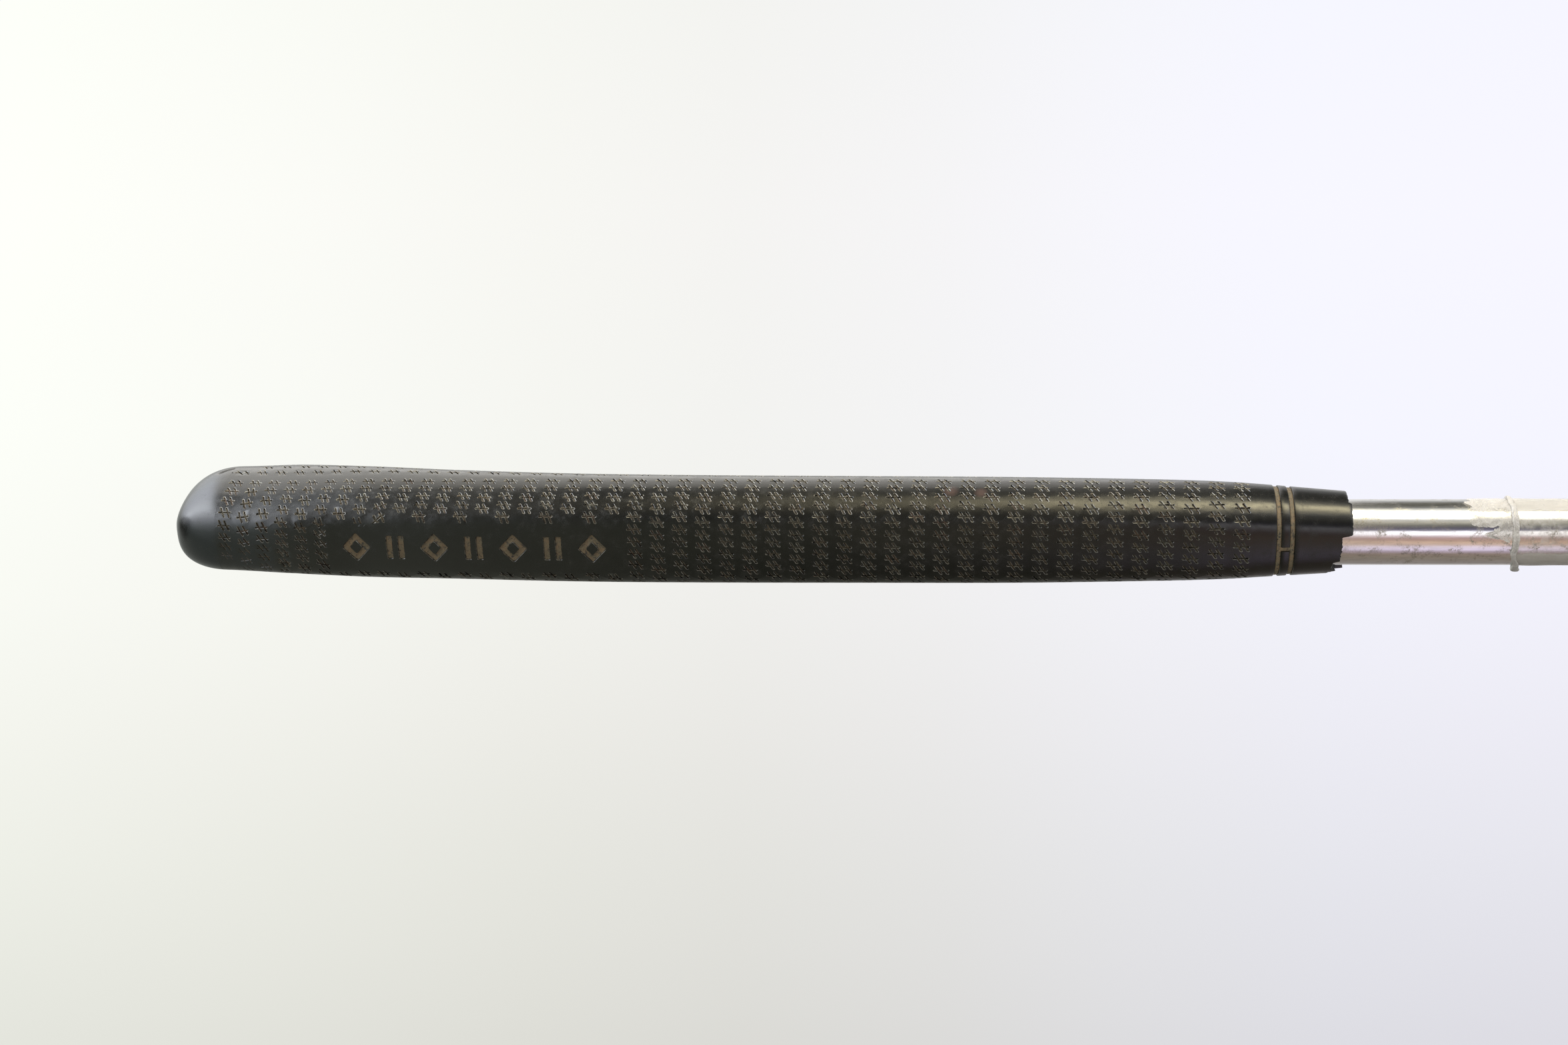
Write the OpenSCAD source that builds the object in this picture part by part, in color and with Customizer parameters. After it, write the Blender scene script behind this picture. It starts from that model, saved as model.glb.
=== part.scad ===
// Pistol-style putter grip on a short length of steel shaft.
// Millimetres, +Z up. The origin is the centre of the shaft's cut end, on the
// shaft axis. +X runs out of the cut end, away from the grip; -Y is the
// outward normal of the flat thumb face; +Y is the pistol bulge; +Z is one
// flank. Stations are counted from the butt's extreme point: X = station + butt_x.

/* [View] */
// which sub-part to draw

/* [Shaft] */
// outside radius where the grip sits: the 0.580 in butt size
shaft_r = 7.366; // [7.2:0.001:7.7]
// outside radius past the step: the 0.565 in size
tip_r = 7.1755; // [6.9:0.0005:7.2]
// thickness of the steel wall
shaft_wall = 0.46; // [0.35:0.01:0.8]
// bare shaft length past the mouth
stub = 72; // [55:1:120]
// length of the reduced end
step_len = 20; // [15:1:40]
// station of the shaft's hidden butt end
shaft_start = 18; // [16:0.5:24]

/* [Grip] */
// length from butt to mouth
grip_len = 268.2; // [268.2:0.1:268.2]
// station of the seam between the moulded cap and the sleeve
cap_seam = 11.4; // [8:0.1:13]
// bore radius of the rubber sleeve
bore_r = 7.56; // [7.53:0.01:7.7]
// length of the butt's dome
dome_len = 13.2; // [10:0.1:16]
// roundness of the dome's side
dome_round = 2.4; // [1.5:0.1:4]
// bluntness of the dome's pole
dome_blunt = 2.75; // [1.5:0.05:3.5]
// where the dome's pole sits across the section, towards the back when negative
dome_front = -3.0; // [-6:0.1:0]
// lean of the cross-sections at the butt, in degrees
lean = 0; // [-5:0.5:10]
// crown radius of the thumb flat
crown_r = 34; // [20:1:80]
// softness of the thumb flat's edges
edge_soft = 0.55; // [0.2:0.05:1.2]
// extra softness of those edges at the butt
butt_soft = 1.5; // [0:0.1:2.5]
// bore for the cap's spigot, ahead of the shaft's butt end
spigot_r = 6.4; // [5:0.1:6.8]
// radius of the vent hole through the cap
vent_r = 1.2; // [0.8:0.1:2]

/* [Grooves] */
// station of the first ring
ring_first = 251.9; // [248:0.1:253]
// station of the second ring
ring_second = 254.85; // [254:0.1:257]
// width of a ring groove
ring_width = 1.16; // [0.8:0.02:1.6]
// depth of the ring grooves and of the link between them
groove_depth = 0.5; // [0.3:0.05:0.8]
// thickness of every paint fill
paint_t = 0.22; // [0.1:0.01:0.3]

/* [Emblem] */
// station of the emblem's middle
emblem_mid = 71.2; // [60:0.1:80]
// spacing of the figures
emblem_pitch = 9.05; // [8:0.05:11]
// number of figures
emblem_count = 7; // [3:1:7]
// width of a figure along the grip
emblem_width = 6.8; // [5:0.1:8]
// height of a figure across the thumb flat
emblem_height = 7.4; // [5:0.1:8]
// width of the strokes
emblem_stroke = 1.5; // [1:0.1:2]
// depth of the recesses
emblem_depth = 0.55; // [0.3:0.05:0.8]

/* [Tape and film] */
// thickness of the double-sided tape
tape_t = 0.15; // [0.1:0.01:0.17]
// thickness of the clear film
film_t = 0.15; // [0.05:0.01:0.3]
// clearance between nested pieces
gap = 0.012; // [0.005:0.001:0.03]

/* [Resolution] */
// points around the grip
around = 72; // [36:4:96]

/* [Hidden] */
paint_colour = [0.62, 0.54, 0.40];

mouth_x = -stub;
butt_x = mouth_x - grip_len;
total_len = grip_len + stub;
step_start = total_len - step_len;
inner_r = shaft_r - shaft_wall;
rings = [ring_first, ring_second];
over = 1;             // how far cutters run past a surface

soft_len = 20;        // length over which the extra butt softness fades
lean_start = 20;      // station where the lean begins to fade
lean_len = 190;       // length over which it fades
tear_start = 258;     // station where the rim's tear begins to pull points back
groove_slope = 0.12;  // run of each groove wall along the grip
link_width = 1.0;     // link's size across the thumb face
link_overlap = 0.02;  // how far the link's cut enters each ring groove
emblem_z = 0.3;       // emblem's offset from the middle of the thumb face

spigot_gap = 0.1;     // spigot's radial clearance
spigot_root = 2.2;    // how far the spigot reaches back into the cap
spigot_stop = 0.4;    // room between spigot and shaft

tape_end = 258;       // station of the tape's end towards the mouth
tape_lap = 0.25;      // how far the tape stands off the shaft's butt end
tuck_len = 7;         // length tucked inside the shaft
tuck_r = inner_r - 0.35;
seam_width = 0.8;
bore_step_back = 1.5; // wide bore stops this far before the outside step

// Film distances are from the mouth
film_start = 24.5;
film_end = 51;
tear_from = 20;
roll_from = 35.9;     // middle of the rolled edge
roll_r = 0.33;
roll_lift = 0.34;     // height of the roll's centre above the film
tear_reach = 12;
// Torn-off blocks: length, size in y, lowest z, height
film_tears = [[15.5, 24, -tear_reach, 15], [9, 10, 0, 12], [12, 8, 0, 12]];

// Design sections down the grip: station, flat face, round front, half width,
// back, widest point (towards the back when negative), squareness
profile = [
  [0,        7.4,  10.2, 9.95,  24.3, -8.5, 2.2],
  [14,       7.6,  10.4, 10.0,  24.5, -8.5, 2.2],
  [27,       8.6,  11.2, 10.6,  24.0, -8.5, 2.2],
  [45,       8.6,  11.3, 11.4,  20.8, -6.8, 2.2],
  [65,       9.1,  11.8, 11.6,  18.5, -5.0, 2.1],
  [93,       9.4,  12.0, 11.9,  15.9, -2.8, 2.05],
  [120,      9.6,  12.0, 12.0,  15.0, -1.8, 2.0],
  [160,      9.7,  12.0, 11.9,  14.4, -1.4, 2.0],
  [195,      9.75, 11.9, 11.75, 14.0, -1.1, 2.0],
  [230,      9.6,  11.2, 11.2,  13.1, -1.0, 2.0],
  [242,      9.4,  10.6, 10.8,  12.4, -0.9, 2.0],
  [250,      9.2,  10.0, 10.3,  11.6, -0.8, 2.0],
  [259,      8.95, 9.4,  9.7,   10.5, -0.5, 2.0],
  [grip_len, 8.8,  8.95, 9.05,  9.4,  -0.3, 2.0]
];
last = len(profile) - 1;
FACE = 1;
ROUND_FRONT = 2;
HALF_WIDTH = 3;
BACK = 4;
WIDEST = 5;
SQUARENESS = 6;

// Loops of the cap, as fractions of its length
cap_fractions = [0.0002, 0.004, 0.015, 0.035, 0.07, 0.12, 0.19, 0.28, 0.40, 0.54, 0.70, 0.85, 1];

// Loops of the sleeve as [station, inset]; the ring grooves are inward steps
function even_steps(from, to, count) =
  [for (i = [0:count]) [from + (to - from)*i / count, 0]];
function groove_steps(mid) = let (half = ring_width / 2, floor_half = half - groove_slope)
  [[mid - half, 0], [mid - floor_half, groove_depth],
   [mid + floor_half, groove_depth], [mid + half, 0]];
sleeve_steps = concat(
  [[cap_seam, 0]],
  even_steps(dome_len - 1.6, dome_len + 1.2, 2),
  even_steps(20, 92, 14),
  even_steps(100, 228, 14),
  even_steps(234, 250, 4),
  groove_steps(ring_first),
  groove_steps(ring_second),
  even_steps(256, 257.9, 1),
  even_steps(259.5, grip_len - 0.7, 3),
  [[grip_len - 0.15, 0.12], [grip_len, 0.5]]);

// Smooth curve through one column of the profile (Hermite with central slopes)
function span_of(station, i = 0) =
  (i >= last - 1 || station < profile[i + 1][0]) ? i : span_of(station, i + 1);
function slope(i, column) = let (before = profile[max(i - 1, 0)], after = profile[min(i + 1, last)])
  (after[column] - before[column]) / (after[0] - before[0]);
function hermite(t, start, end, start_slope, end_slope) =
  (2*t*t*t - 3*t*t + 1)*start + (t*t*t - 2*t*t + t)*start_slope
  + (3*t*t - 2*t*t*t)*end + (t*t*t - t*t)*end_slope;
function profile_at(station, column) = let (
    inside = min(max(station, 0), profile[last][0]),
    i = span_of(inside),
    span = profile[i + 1][0] - profile[i][0])
  hermite((inside - profile[i][0]) / span, profile[i][column], profile[i + 1][column],
          slope(i, column)*span, slope(i + 1, column)*span);

function signed_pow(x, power) = sign(x) * pow(abs(x), power);
function soft_min(a, b, softness) =
  min(a, b) - softness * ln(1 + exp(-abs(a - b) / softness));
function softness_at(station) = let (t = min(max(station / soft_len, 0), 1))
  edge_soft + butt_soft * (1 - t*t*(3 - 2*t));
function dome_scale(station) = station >= dome_len ? 1
  : pow(max(1 - pow(1 - station / dome_len, dome_round), 0), 1 / dome_blunt);
function lean_at(station) =
  lean * pow(1 - min(max((station - lean_start) / lean_len, 0), 1), 2);

// One point of the cross-section, as [front, lateral]
function section(station, angle) = let (
    base = max(station, dome_len),
    widest = profile_at(base, WIDEST),
    reach = cos(angle) >= 0 ? profile_at(base, ROUND_FRONT) - widest
                            : profile_at(base, BACK) + widest,
    power = 2 / profile_at(base, SQUARENESS),
    lateral = profile_at(base, HALF_WIDTH) * signed_pow(sin(angle), power),
    front = soft_min(widest + reach * signed_pow(cos(angle), power),
                     profile_at(base, FACE) - lateral*lateral / (2*crown_r),
                     softness_at(station)),
    size = dome_scale(station))
  [dome_front + (front - dome_front)*size, lateral*size];

// The same, moved inwards along the section's own normal
function inset_section(station, angle, inset) = inset == 0 ? section(station, angle) : let (
    chord = section(station, angle + 2) - section(station, angle - 2),
    tangent = chord / norm(chord))
  section(station, angle) + inset*[-tangent[1], tangent[0]];

function place(station, point) =
  [butt_x + station - point[0]*tan(lean_at(station)), -point[0], point[1]];

// The mouth is torn: its rim steps back over part of the lower front
function rim_back(angle) =
  (angle > 281 && angle < 318) ? 4.0 : (angle >= 318 && angle < 350) ? 2.6 : 0;
function torn(station, angle) = station <= tear_start ? station
  : tear_start + (station - tear_start)
    * (grip_len - rim_back(angle) - tear_start) / (grip_len - tear_start);

function loop_at(station, inset) = [for (i = [0:around - 1]) let (angle = i * 360 / around)
  place(torn(station, angle), inset_section(station, angle, inset))];

// Middle of a loop's bounding box
function middle(points) = [for (axis = [0:2]) let (values = [for (p = points) p[axis]])
  (min(values) + max(values)) / 2];

// Skin between loops of equal length, closed at both ends or joined into a ring
module skin(loops, ring = false) {
  n = len(loops[0]);
  m = len(loops);
  points = [for (loop = loops) each loop];
  sides = [for (j = [0:m - (ring ? 1 : 2)]) for (i = [0:n - 1]) let (
      a = j*n + i,
      b = j*n + (i + 1) % n,
      c = ((j + 1) % m)*n + (i + 1) % n,
      d = ((j + 1) % m)*n + i)
    each [[a, c, d], [a, b, c]]];
  if (ring) polyhedron(points, sides, convexity = 8);
  else polyhedron(
    concat(points, [middle(loops[0]), middle(loops[m - 1])]),
    concat(sides,
      [for (i = [0:n - 1]) [(i + 1) % n, i, m*n]],
      [for (i = [0:n - 1]) [(m - 1)*n + i, (m - 1)*n + (i + 1) % n, m*n + 1]]),
    convexity = 8);
}

// Cylinder on the shaft axis between two stations
module along_x(from, to, r) {
  translate([butt_x + from, 0, 0]) rotate([0, 90, 0]) cylinder(h = to - from, r = r, $fn = 96);
}

// Emblem figures: open lozenges and double bars in turn
module lozenge() {
  border = emblem_stroke*1.35;
  difference() {
    scale([emblem_width / 2, emblem_height / 2]) circle(r = 1, $fn = 4);
    scale([emblem_width / 2 - border, emblem_height / 2 - border]) circle(r = 1, $fn = 4);
  }
}

module bars() {
  for (side = [-1, 1]) translate([side*emblem_width*0.2, 0])
    square([emblem_stroke, emblem_height*0.8], center = true);
}

// Row of figures between two heights above the thumb face
module figures(low, high) {
  for (k = [0:emblem_count - 1]) {
    station = emblem_mid + (k - (emblem_count - 1) / 2)*emblem_pitch;
    translate([butt_x + station, -profile_at(station, FACE), emblem_z])
      rotate([90, 0, 0]) translate([0, 0, low]) linear_extrude(height = high - low)
        if (k % 2 == 0) lozenge(); else bars();
  }
}

// Short flat channel joining the two rings on the thumb face
module link(low, high, shrink = 0) {
  inset = ring_width / 2 - link_overlap + shrink;
  from = ring_first + inset;
  to = ring_second - inset;
  translate([butt_x + from, -profile_at((from + to) / 2, FACE), 0]) rotate([90, 0, 0])
    translate([0, -link_width / 2, low]) cube([to - from, link_width, high - low]);
}

// Moulded butt cap: dome outside, spigot into the sleeve's bore, vent hole
module end_cap() color([0.10, 0.10, 0.11]) difference() {
  union() {
    skin([for (fraction = cap_fractions) loop_at(cap_seam*fraction, 0)]);
    along_x(cap_seam - spigot_root, shaft_start - spigot_stop, spigot_r - spigot_gap);
  }
  along_x(-2*over, shaft_start + over, vent_r);
}

module grip_sleeve() color([0.08, 0.08, 0.085]) difference() {
  skin([for (step = sleeve_steps) loop_at(step[0], step[1])]);
  along_x(-over, shaft_start, spigot_r);
  along_x(shaft_start - 0.3, grip_len + 5*over, bore_r);
  figures(-emblem_depth, over);
  link(-groove_depth, over);
}

module emblem_paint() color(paint_colour) figures(-emblem_depth, -emblem_depth + paint_t);

// Fill on each groove's floor, 0.01 clear of the walls
module ring_paint() color(paint_colour) for (mid = rings) {
  half = ring_width / 2 - groove_slope - 0.01;
  top = groove_depth - paint_t;
  skin([for (corner = [[-half, groove_depth], [half, groove_depth], [half, top], [-half, top]])
    loop_at(mid + corner[0], corner[1])], ring = true);
}

module ring_link_paint() color(paint_colour)
  link(-groove_depth, -groove_depth + paint_t, shrink = 0.05);

// Double-sided tape with a lengthwise seam, tucked into the shaft's butt end
module grip_tape() color([0.85, 0.80, 0.66]) difference() {
  union() {
    difference() {
      along_x(shaft_start - tape_lap, tape_end, shaft_r + gap + tape_t);
      along_x(shaft_start - gap, tape_end + 2*over, shaft_r + gap);
      along_x(shaft_start - 2*over, shaft_start + over, tuck_r);
    }
    difference() {
      along_x(shaft_start - tape_lap, shaft_start + tuck_len, inner_r - gap);
      along_x(shaft_start - 2*over, shaft_start + tuck_len + 2*over, tuck_r);
    }
  }
  translate([butt_x + shaft_start - 2*over, shaft_r - 3.5, -seam_width / 2])
    cube([grip_len, 5, seam_width]);
}

module shaft_tube() color([0.78, 0.79, 0.80]) difference() {
  union() {
    along_x(shaft_start, step_start, shaft_r);
    along_x(shaft_start + 5, total_len, tip_r);
  }
  along_x(shaft_start - over, step_start - bore_step_back, inner_r);
  along_x(shaft_start - over, total_len + over, tip_r - shaft_wall);
}

// Clear film on the bare shaft, torn back near the mouth
module shaft_film() color([0.88, 0.87, 0.82, 0.5]) difference() {
  along_x(grip_len + film_start, grip_len + film_end, shaft_r + gap + film_t);
  along_x(grip_len + tear_from, grip_len + 60, shaft_r + gap);
  for (tear = film_tears)
    translate([mouth_x + tear_from, -tear_reach, tear[2]]) cube([tear[0], tear[1], tear[3]]);
}

// Rolled ring around the film
module film_roll() color([0.90, 0.89, 0.84, 0.8])
  translate([mouth_x + roll_from, 0, 0]) rotate([0, 90, 0])
    rotate_extrude($fn = 96) translate([shaft_r + 2*gap + film_t + roll_lift, 0])
      circle(r = roll_r, $fn = 16);

end_cap();
grip_sleeve();
emblem_paint();
ring_paint();
ring_link_paint();
grip_tape();
shaft_tube();
shaft_film();
film_roll();
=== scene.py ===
# A moulded rubber putter grip on the end of a steel shaft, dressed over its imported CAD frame.
# The axis lies along X: the butt is at the -X end and the shaft's cut end is at x = 0.
# The flat thumb face looks to -Y, the back to +Y, and the upper flank to +Z.
# Shapes are in millimetres (put() turns them into metres); the stage is in metres.
# A station is a distance along the axis from the butt.
import math

import bmesh
import bpy
import numpy as np
from mathutils import Matrix, Vector
from mathutils.geometry import delaunay_2d_cdt


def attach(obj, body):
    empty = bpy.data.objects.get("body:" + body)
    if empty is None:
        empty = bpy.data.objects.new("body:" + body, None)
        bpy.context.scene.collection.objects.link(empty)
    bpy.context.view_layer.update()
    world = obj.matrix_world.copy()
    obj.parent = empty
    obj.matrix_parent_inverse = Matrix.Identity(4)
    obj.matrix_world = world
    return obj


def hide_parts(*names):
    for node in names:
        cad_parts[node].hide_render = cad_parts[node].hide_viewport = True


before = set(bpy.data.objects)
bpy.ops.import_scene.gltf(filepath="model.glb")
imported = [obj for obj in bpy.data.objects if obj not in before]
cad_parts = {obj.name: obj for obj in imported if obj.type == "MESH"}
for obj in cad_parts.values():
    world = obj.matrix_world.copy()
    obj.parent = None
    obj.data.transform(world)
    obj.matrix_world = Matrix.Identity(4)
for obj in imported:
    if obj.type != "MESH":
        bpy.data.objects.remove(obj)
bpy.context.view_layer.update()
rng = np.random.default_rng(20763)

# ---------------------------------------------------------------- sizes
# station, crown height, front reach, half width, back reach, place of the widest line, power
# (heights and reaches are measured from the axis, towards the thumb face or the back)
SECTIONS = np.array([
    [0, 7.4, 10.2, 9.95, 24.3, -8.5, 2.2],
    [14, 7.6, 10.4, 10, 24.5, -8.5, 2.2],
    [27, 8.6, 11.2, 10.6, 24, -8.5, 2.2],
    [45, 8.6, 11.3, 11.4, 20.8, -6.8, 2.2],
    [65, 9.1, 11.8, 11.6, 18.5, -5, 2.1],
    [93, 9.4, 12, 11.9, 15.9, -2.8, 2.05],
    [120, 9.6, 12, 12, 15, -1.8, 2],
    [160, 9.7, 12, 11.9, 14.4, -1.4, 2],
    [195, 9.75, 11.9, 11.75, 14, -1.1, 2],
    [230, 9.6, 11.2, 11.2, 13.1, -1, 2],
    [242, 9.4, 10.6, 10.8, 12.4, -0.9, 2],
    [250, 9.2, 10, 10.3, 11.6, -0.8, 2],
    [259, 8.95, 9.4, 9.7, 10.5, -0.5, 2],
    [268.2, 8.8, 8.95, 9.05, 9.4, -0.3, 2],
])
GRIP_LEN = 268.2
STUB = 72.0                  # bare shaft beyond the mouth
SHAFT_END = GRIP_LEN + STUB  # station of the shaft's cut end
X0 = -SHAFT_END              # x of station 0
CROWN_R = 34.0               # radius across the thumb face
EDGE_SOFT = 0.55             # softness of the thumb face's edges
BUTT_SOFT = 1.5              # extra softness at the butt
DOME_LEN = 13.2              # the butt's dome: length, powers, and the height it closes at
DOME_POWER_IN, DOME_POWER_OUT = 2.4, 2.75
DOME_HEIGHT = -3.0
CAP_LEN = 11.4               # station of the seam between butt cap and sleeve
SPIGOT_R = 6.4
BORE_R = 7.56
SHAFT_R = 7.366

RINGS = (251.9, 254.85)      # stations of the two ring grooves
RING_HALF = 1.16 / 2
GROOVE = 0.5                 # groove depth
LINK_HALF = 0.50             # half width of the channel joining the rings
COLLAR = 258.0               # station where the stretch towards the torn mouth begins

# The pattern is laid out in columns (u, along the grip) and rows (t, around it).
# Whole u are column middles, whole t are row edges, and t = 0 is the middle of the thumb face.
FIRST_COLUMN = 48.8          # station of u = 0
SUBSTEPS = 20                # table steps per column
ROW_PITCH = 2.97             # on the thumb side
ROWS = 7                     # rows each side of the middle, before the parting line
BAND = 1.8                   # width of the plain band at the parting line
BACK_ROWS = 5                # rows each side of the back's middle
T_MAX = ROWS + 1 + BACK_ROWS
U_FIRST, U_LAST = -8.5, 37.5
CELL_NU, CELL_NT = 5, 4      # divisions of a cell's edges


# ---------------------------------------------------------------- the grip's outer skin
def smooth(x):
    x = np.clip(x, 0, 1)
    return x * x * (3 - 2 * x)


def section_value(station, column):
    """One column of SECTIONS at a station, by cubic interpolation."""
    x, y = SECTIONS[:, 0], SECTIONS[:, column]
    last = len(x) - 1
    at = np.clip(np.asarray(station, float), x[0], x[-1])
    i = np.clip(np.searchsorted(x, at, side="right") - 1, 0, last - 1)

    def slope(j):
        before, after = np.maximum(j - 1, 0), np.minimum(j + 1, last)
        return (y[after] - y[before]) / (x[after] - x[before])

    h = x[i + 1] - x[i]
    s = (at - x[i]) / h
    return ((2 * s**3 - 3 * s**2 + 1) * y[i] + (s**3 - 2 * s**2 + s) * h * slope(i)
            + (3 * s**2 - 2 * s**3) * y[i + 1] + (s**3 - s**2) * h * slope(i + 1))


def section(station, angle):
    """Outline point (height towards -Y, width towards +Z); angle 0 is the thumb face's middle."""
    beyond_dome = np.maximum(station, DOME_LEN)
    crown, front, width, back, widest, power = [section_value(beyond_dome, k) for k in range(1, 7)]
    e = 2 / power
    c, s = np.cos(angle), np.sin(angle)
    oval = widest + np.where(c >= 0, front - widest, back + widest) * np.sign(c) * np.abs(c)**e
    across = width * np.sign(s) * np.abs(s)**e
    face = crown - across * across / (2 * CROWN_R)
    soft = EDGE_SOFT + BUTT_SOFT * (1 - smooth(station / 20.0))
    height = np.minimum(oval, face) - soft * np.log1p(np.exp(-np.abs(oval - face) / soft))
    shut = np.maximum(1 - station / DOME_LEN, 0)**DOME_POWER_IN
    size = np.where(station >= DOME_LEN, 1, np.maximum(1 - shut, 0)**(1 / DOME_POWER_OUT))
    return DOME_HEIGHT + (height - DOME_HEIGHT) * size, across * size


# arc length against section angle, for every ARC_STEP of station
ARC_STEP = 0.5
ARC_STATIONS = np.arange(0, GRIP_LEN, ARC_STEP)
ARC_ANGLES = np.linspace(0, math.pi, 361)
ARC_PARTS = 400


def arc_table():
    rows = []
    for station in ARC_STATIONS:
        f, w = section(max(station, 0.02), ARC_ANGLES)
        rows.append(np.concatenate([[0], np.cumsum(np.hypot(np.diff(f), np.diff(w)))]))
    return np.array(rows)


ARCS = arc_table()
HALF_ARCS = ARCS[:, -1]
ANGLE_TABLE = np.array([np.interp(np.linspace(0, 1, ARC_PARTS + 1), row / row[-1], ARC_ANGLES)
                        for row in ARCS])


def half_at(station):
    """Half the girth."""
    return np.interp(station, ARC_STATIONS, HALF_ARCS)


def angle_at(station, arc):
    """Section angle for an arc length from the middle of the thumb face; + is the upper flank."""
    station = np.asarray(station, float)
    part = np.clip(np.abs(arc) / half_at(station), 0, 1) * ARC_PARTS
    j = np.clip(part.astype(int), 0, ARC_PARTS - 1)
    t = part - j
    g = np.clip(station / ARC_STEP, 0, len(ARC_STATIONS) - 1.001)
    i = g.astype(int)
    s = g - i
    low = ANGLE_TABLE[i, j] * (1 - t) + ANGLE_TABLE[i, j + 1] * t
    high = ANGLE_TABLE[i + 1, j] * (1 - t) + ANGLE_TABLE[i + 1, j + 1] * t
    return np.sign(arc) * (low * (1 - s) + high * s)


SKIN_STATIONS = np.concatenate([np.arange(10.0, 20.0, 0.25),
                                np.arange(20.0, GRIP_LEN + ARC_STEP, 0.5)])
SKIN_PARTS = 900
SKIN_ANGLES = np.linspace(-math.pi, math.pi, SKIN_PARTS + 1)


def skin_tables():
    """Outline points (y, z) and outward normals over stations and angles."""
    points, normals = [], []
    dv = 0.15
    for station in SKIN_STATIONS:
        f, w = section(station, SKIN_ANGLES)
        f0, w0 = section(station - dv, SKIN_ANGLES)
        f1, w1 = section(station + dv, SKIN_ANGLES)
        p = np.stack([-f, w], 1)
        padded = np.vstack([p[-2], p, p[1]])
        chord = padded[2:] - padded[:-2]
        around = np.stack([np.zeros(len(p)), chord[:, 0], chord[:, 1]], 1)
        along = np.stack([np.full(len(p), 2 * dv), -(f1 - f0), w1 - w0], 1)
        n = np.cross(around, along)
        n /= np.linalg.norm(n, axis=1, keepdims=True) + 1e-12
        side = np.sign((n[:, 1:] * p).sum(1))
        n *= np.where(side == 0, 1, side)[:, None]
        points.append(p)
        normals.append(n)
    return np.array(points), np.array(normals)


SKIN_POINTS, SKIN_NORMALS = skin_tables()


def skin(station, angle, depth=0.0):
    """Points on the skin, moved inwards by depth."""
    station, angle, depth = np.broadcast_arrays(
        np.asarray(station, float), np.asarray(angle, float), np.asarray(depth, float))
    g = np.interp(station, SKIN_STATIONS, np.arange(len(SKIN_STATIONS)))
    i = np.minimum(g.astype(int), len(SKIN_STATIONS) - 2)
    s = (g - i)[..., None]
    h = np.clip((angle + math.pi) / (2 * math.pi), 0, 1) * SKIN_PARTS
    j = np.minimum(h.astype(int), SKIN_PARTS - 1)
    t = (h - j)[..., None]

    def look_up(table):
        return ((table[i, j] * (1 - t) + table[i, j + 1] * t) * (1 - s)
                + (table[i + 1, j] * (1 - t) + table[i + 1, j + 1] * t) * s)

    p, n = look_up(SKIN_POINTS), look_up(SKIN_NORMALS)
    n = n / (np.linalg.norm(n, axis=-1, keepdims=True) + 1e-12)
    return np.concatenate([(X0 + station)[..., None], p], -1) - n * depth[..., None]


# ---------------------------------------------------------------- columns and rows of the pattern
def column_pitch(v):
    return 4.63 + 0.0098 * (v - 50) - 0.000025 * (v - 50)**2


def column_table():
    """Matching lists of u and station."""
    def advanced(v, way):
        middle = v + way * column_pitch(v) / SUBSTEPS
        return v + way * column_pitch(middle) / SUBSTEPS

    up, down = [FIRST_COLUMN], [FIRST_COLUMN]
    while up[-1] < 246:
        up.append(advanced(up[-1], 1))
    while down[-1] > 6:
        down.append(advanced(down[-1], -1))
    stations = np.array(down[::-1][:-1] + up)
    us = (np.arange(len(stations)) - (len(down) - 1)) / SUBSTEPS
    # the columns nearest the butt are drawn towards it
    return us, stations + 0.72 * smooth((us - U_FIRST) / 4.5)


TABLE_U, TABLE_STATION = column_table()


def station_of(u):
    return np.interp(u, TABLE_U, TABLE_STATION)


def u_of(station):
    return np.interp(station, TABLE_STATION, TABLE_U)


def back_pitch(station):
    return (half_at(station) - ROWS * ROW_PITCH - BAND) / BACK_ROWS


def arc_of(t, station):
    """Arc length of a row coordinate."""
    m = np.abs(t)
    front = ROWS * ROW_PITCH
    arc = np.where(m <= ROWS, m * ROW_PITCH,
                   np.where(m <= ROWS + 1, front + (m - ROWS) * BAND,
                            front + BAND + (m - ROWS - 1) * back_pitch(station)))
    return np.sign(t) * arc


def window(station, arc):
    """1 inside the plain window that holds the emblem, fading to 0 around it."""
    along = smooth((station - 34) / 3) * smooth((107 - station) / 3)
    return along * smooth((7.6 - np.abs(arc)) / 2.0)


def weave(u, arc):
    """Arc shift that staggers neighbouring columns; the order flips at u = 0 and at u = -7."""
    k = np.floor(u + 0.5)
    side = np.where(np.mod(k, 2) == 0, 1.0, -1.0) * np.where((k < 0) & (k > -7), -1.0, 1.0)
    edge = np.clip((np.abs(u - k) - 0.39) / 0.11, 0, 1)
    return 0.65 * smooth((18.5 - np.abs(arc)) / 12) * side * np.cos(edge * math.pi / 2)


def settle(u, t):
    """Arc by which rows near the butt lie lower: by row, from two start columns, plus a bend."""
    drop = np.interp(t, [-1.5, -0.5, 0.5, 1.5, 2.5, 3.5, 4.5, 5.5],
                     [0, 0.25, 0.9, 1.6, 1.8, 1.45, 0.6, 0])
    upper_rows = smooth((0.3 - u) / 0.8)
    lower_rows = smooth((-2.6 - u) / 0.6)
    share = smooth((t - 2.0) / 0.4)
    bend = 1.35 * smooth((-5.9 - u) / 1.4) * smooth((7.2 - t) / 2.5) * smooth((t + 5) / 4)
    return drop * (lower_rows * (1 - share) + upper_rows * share) + bend


def lean(station, angle):
    """Station shift of the columns, growing away from the thumb face and ending at the rings."""
    height = -skin(station, angle)[..., 1]
    return (9 - height) * 0.058 * smooth((RINGS[0] - 1.2 - station) / 4.0)


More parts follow.
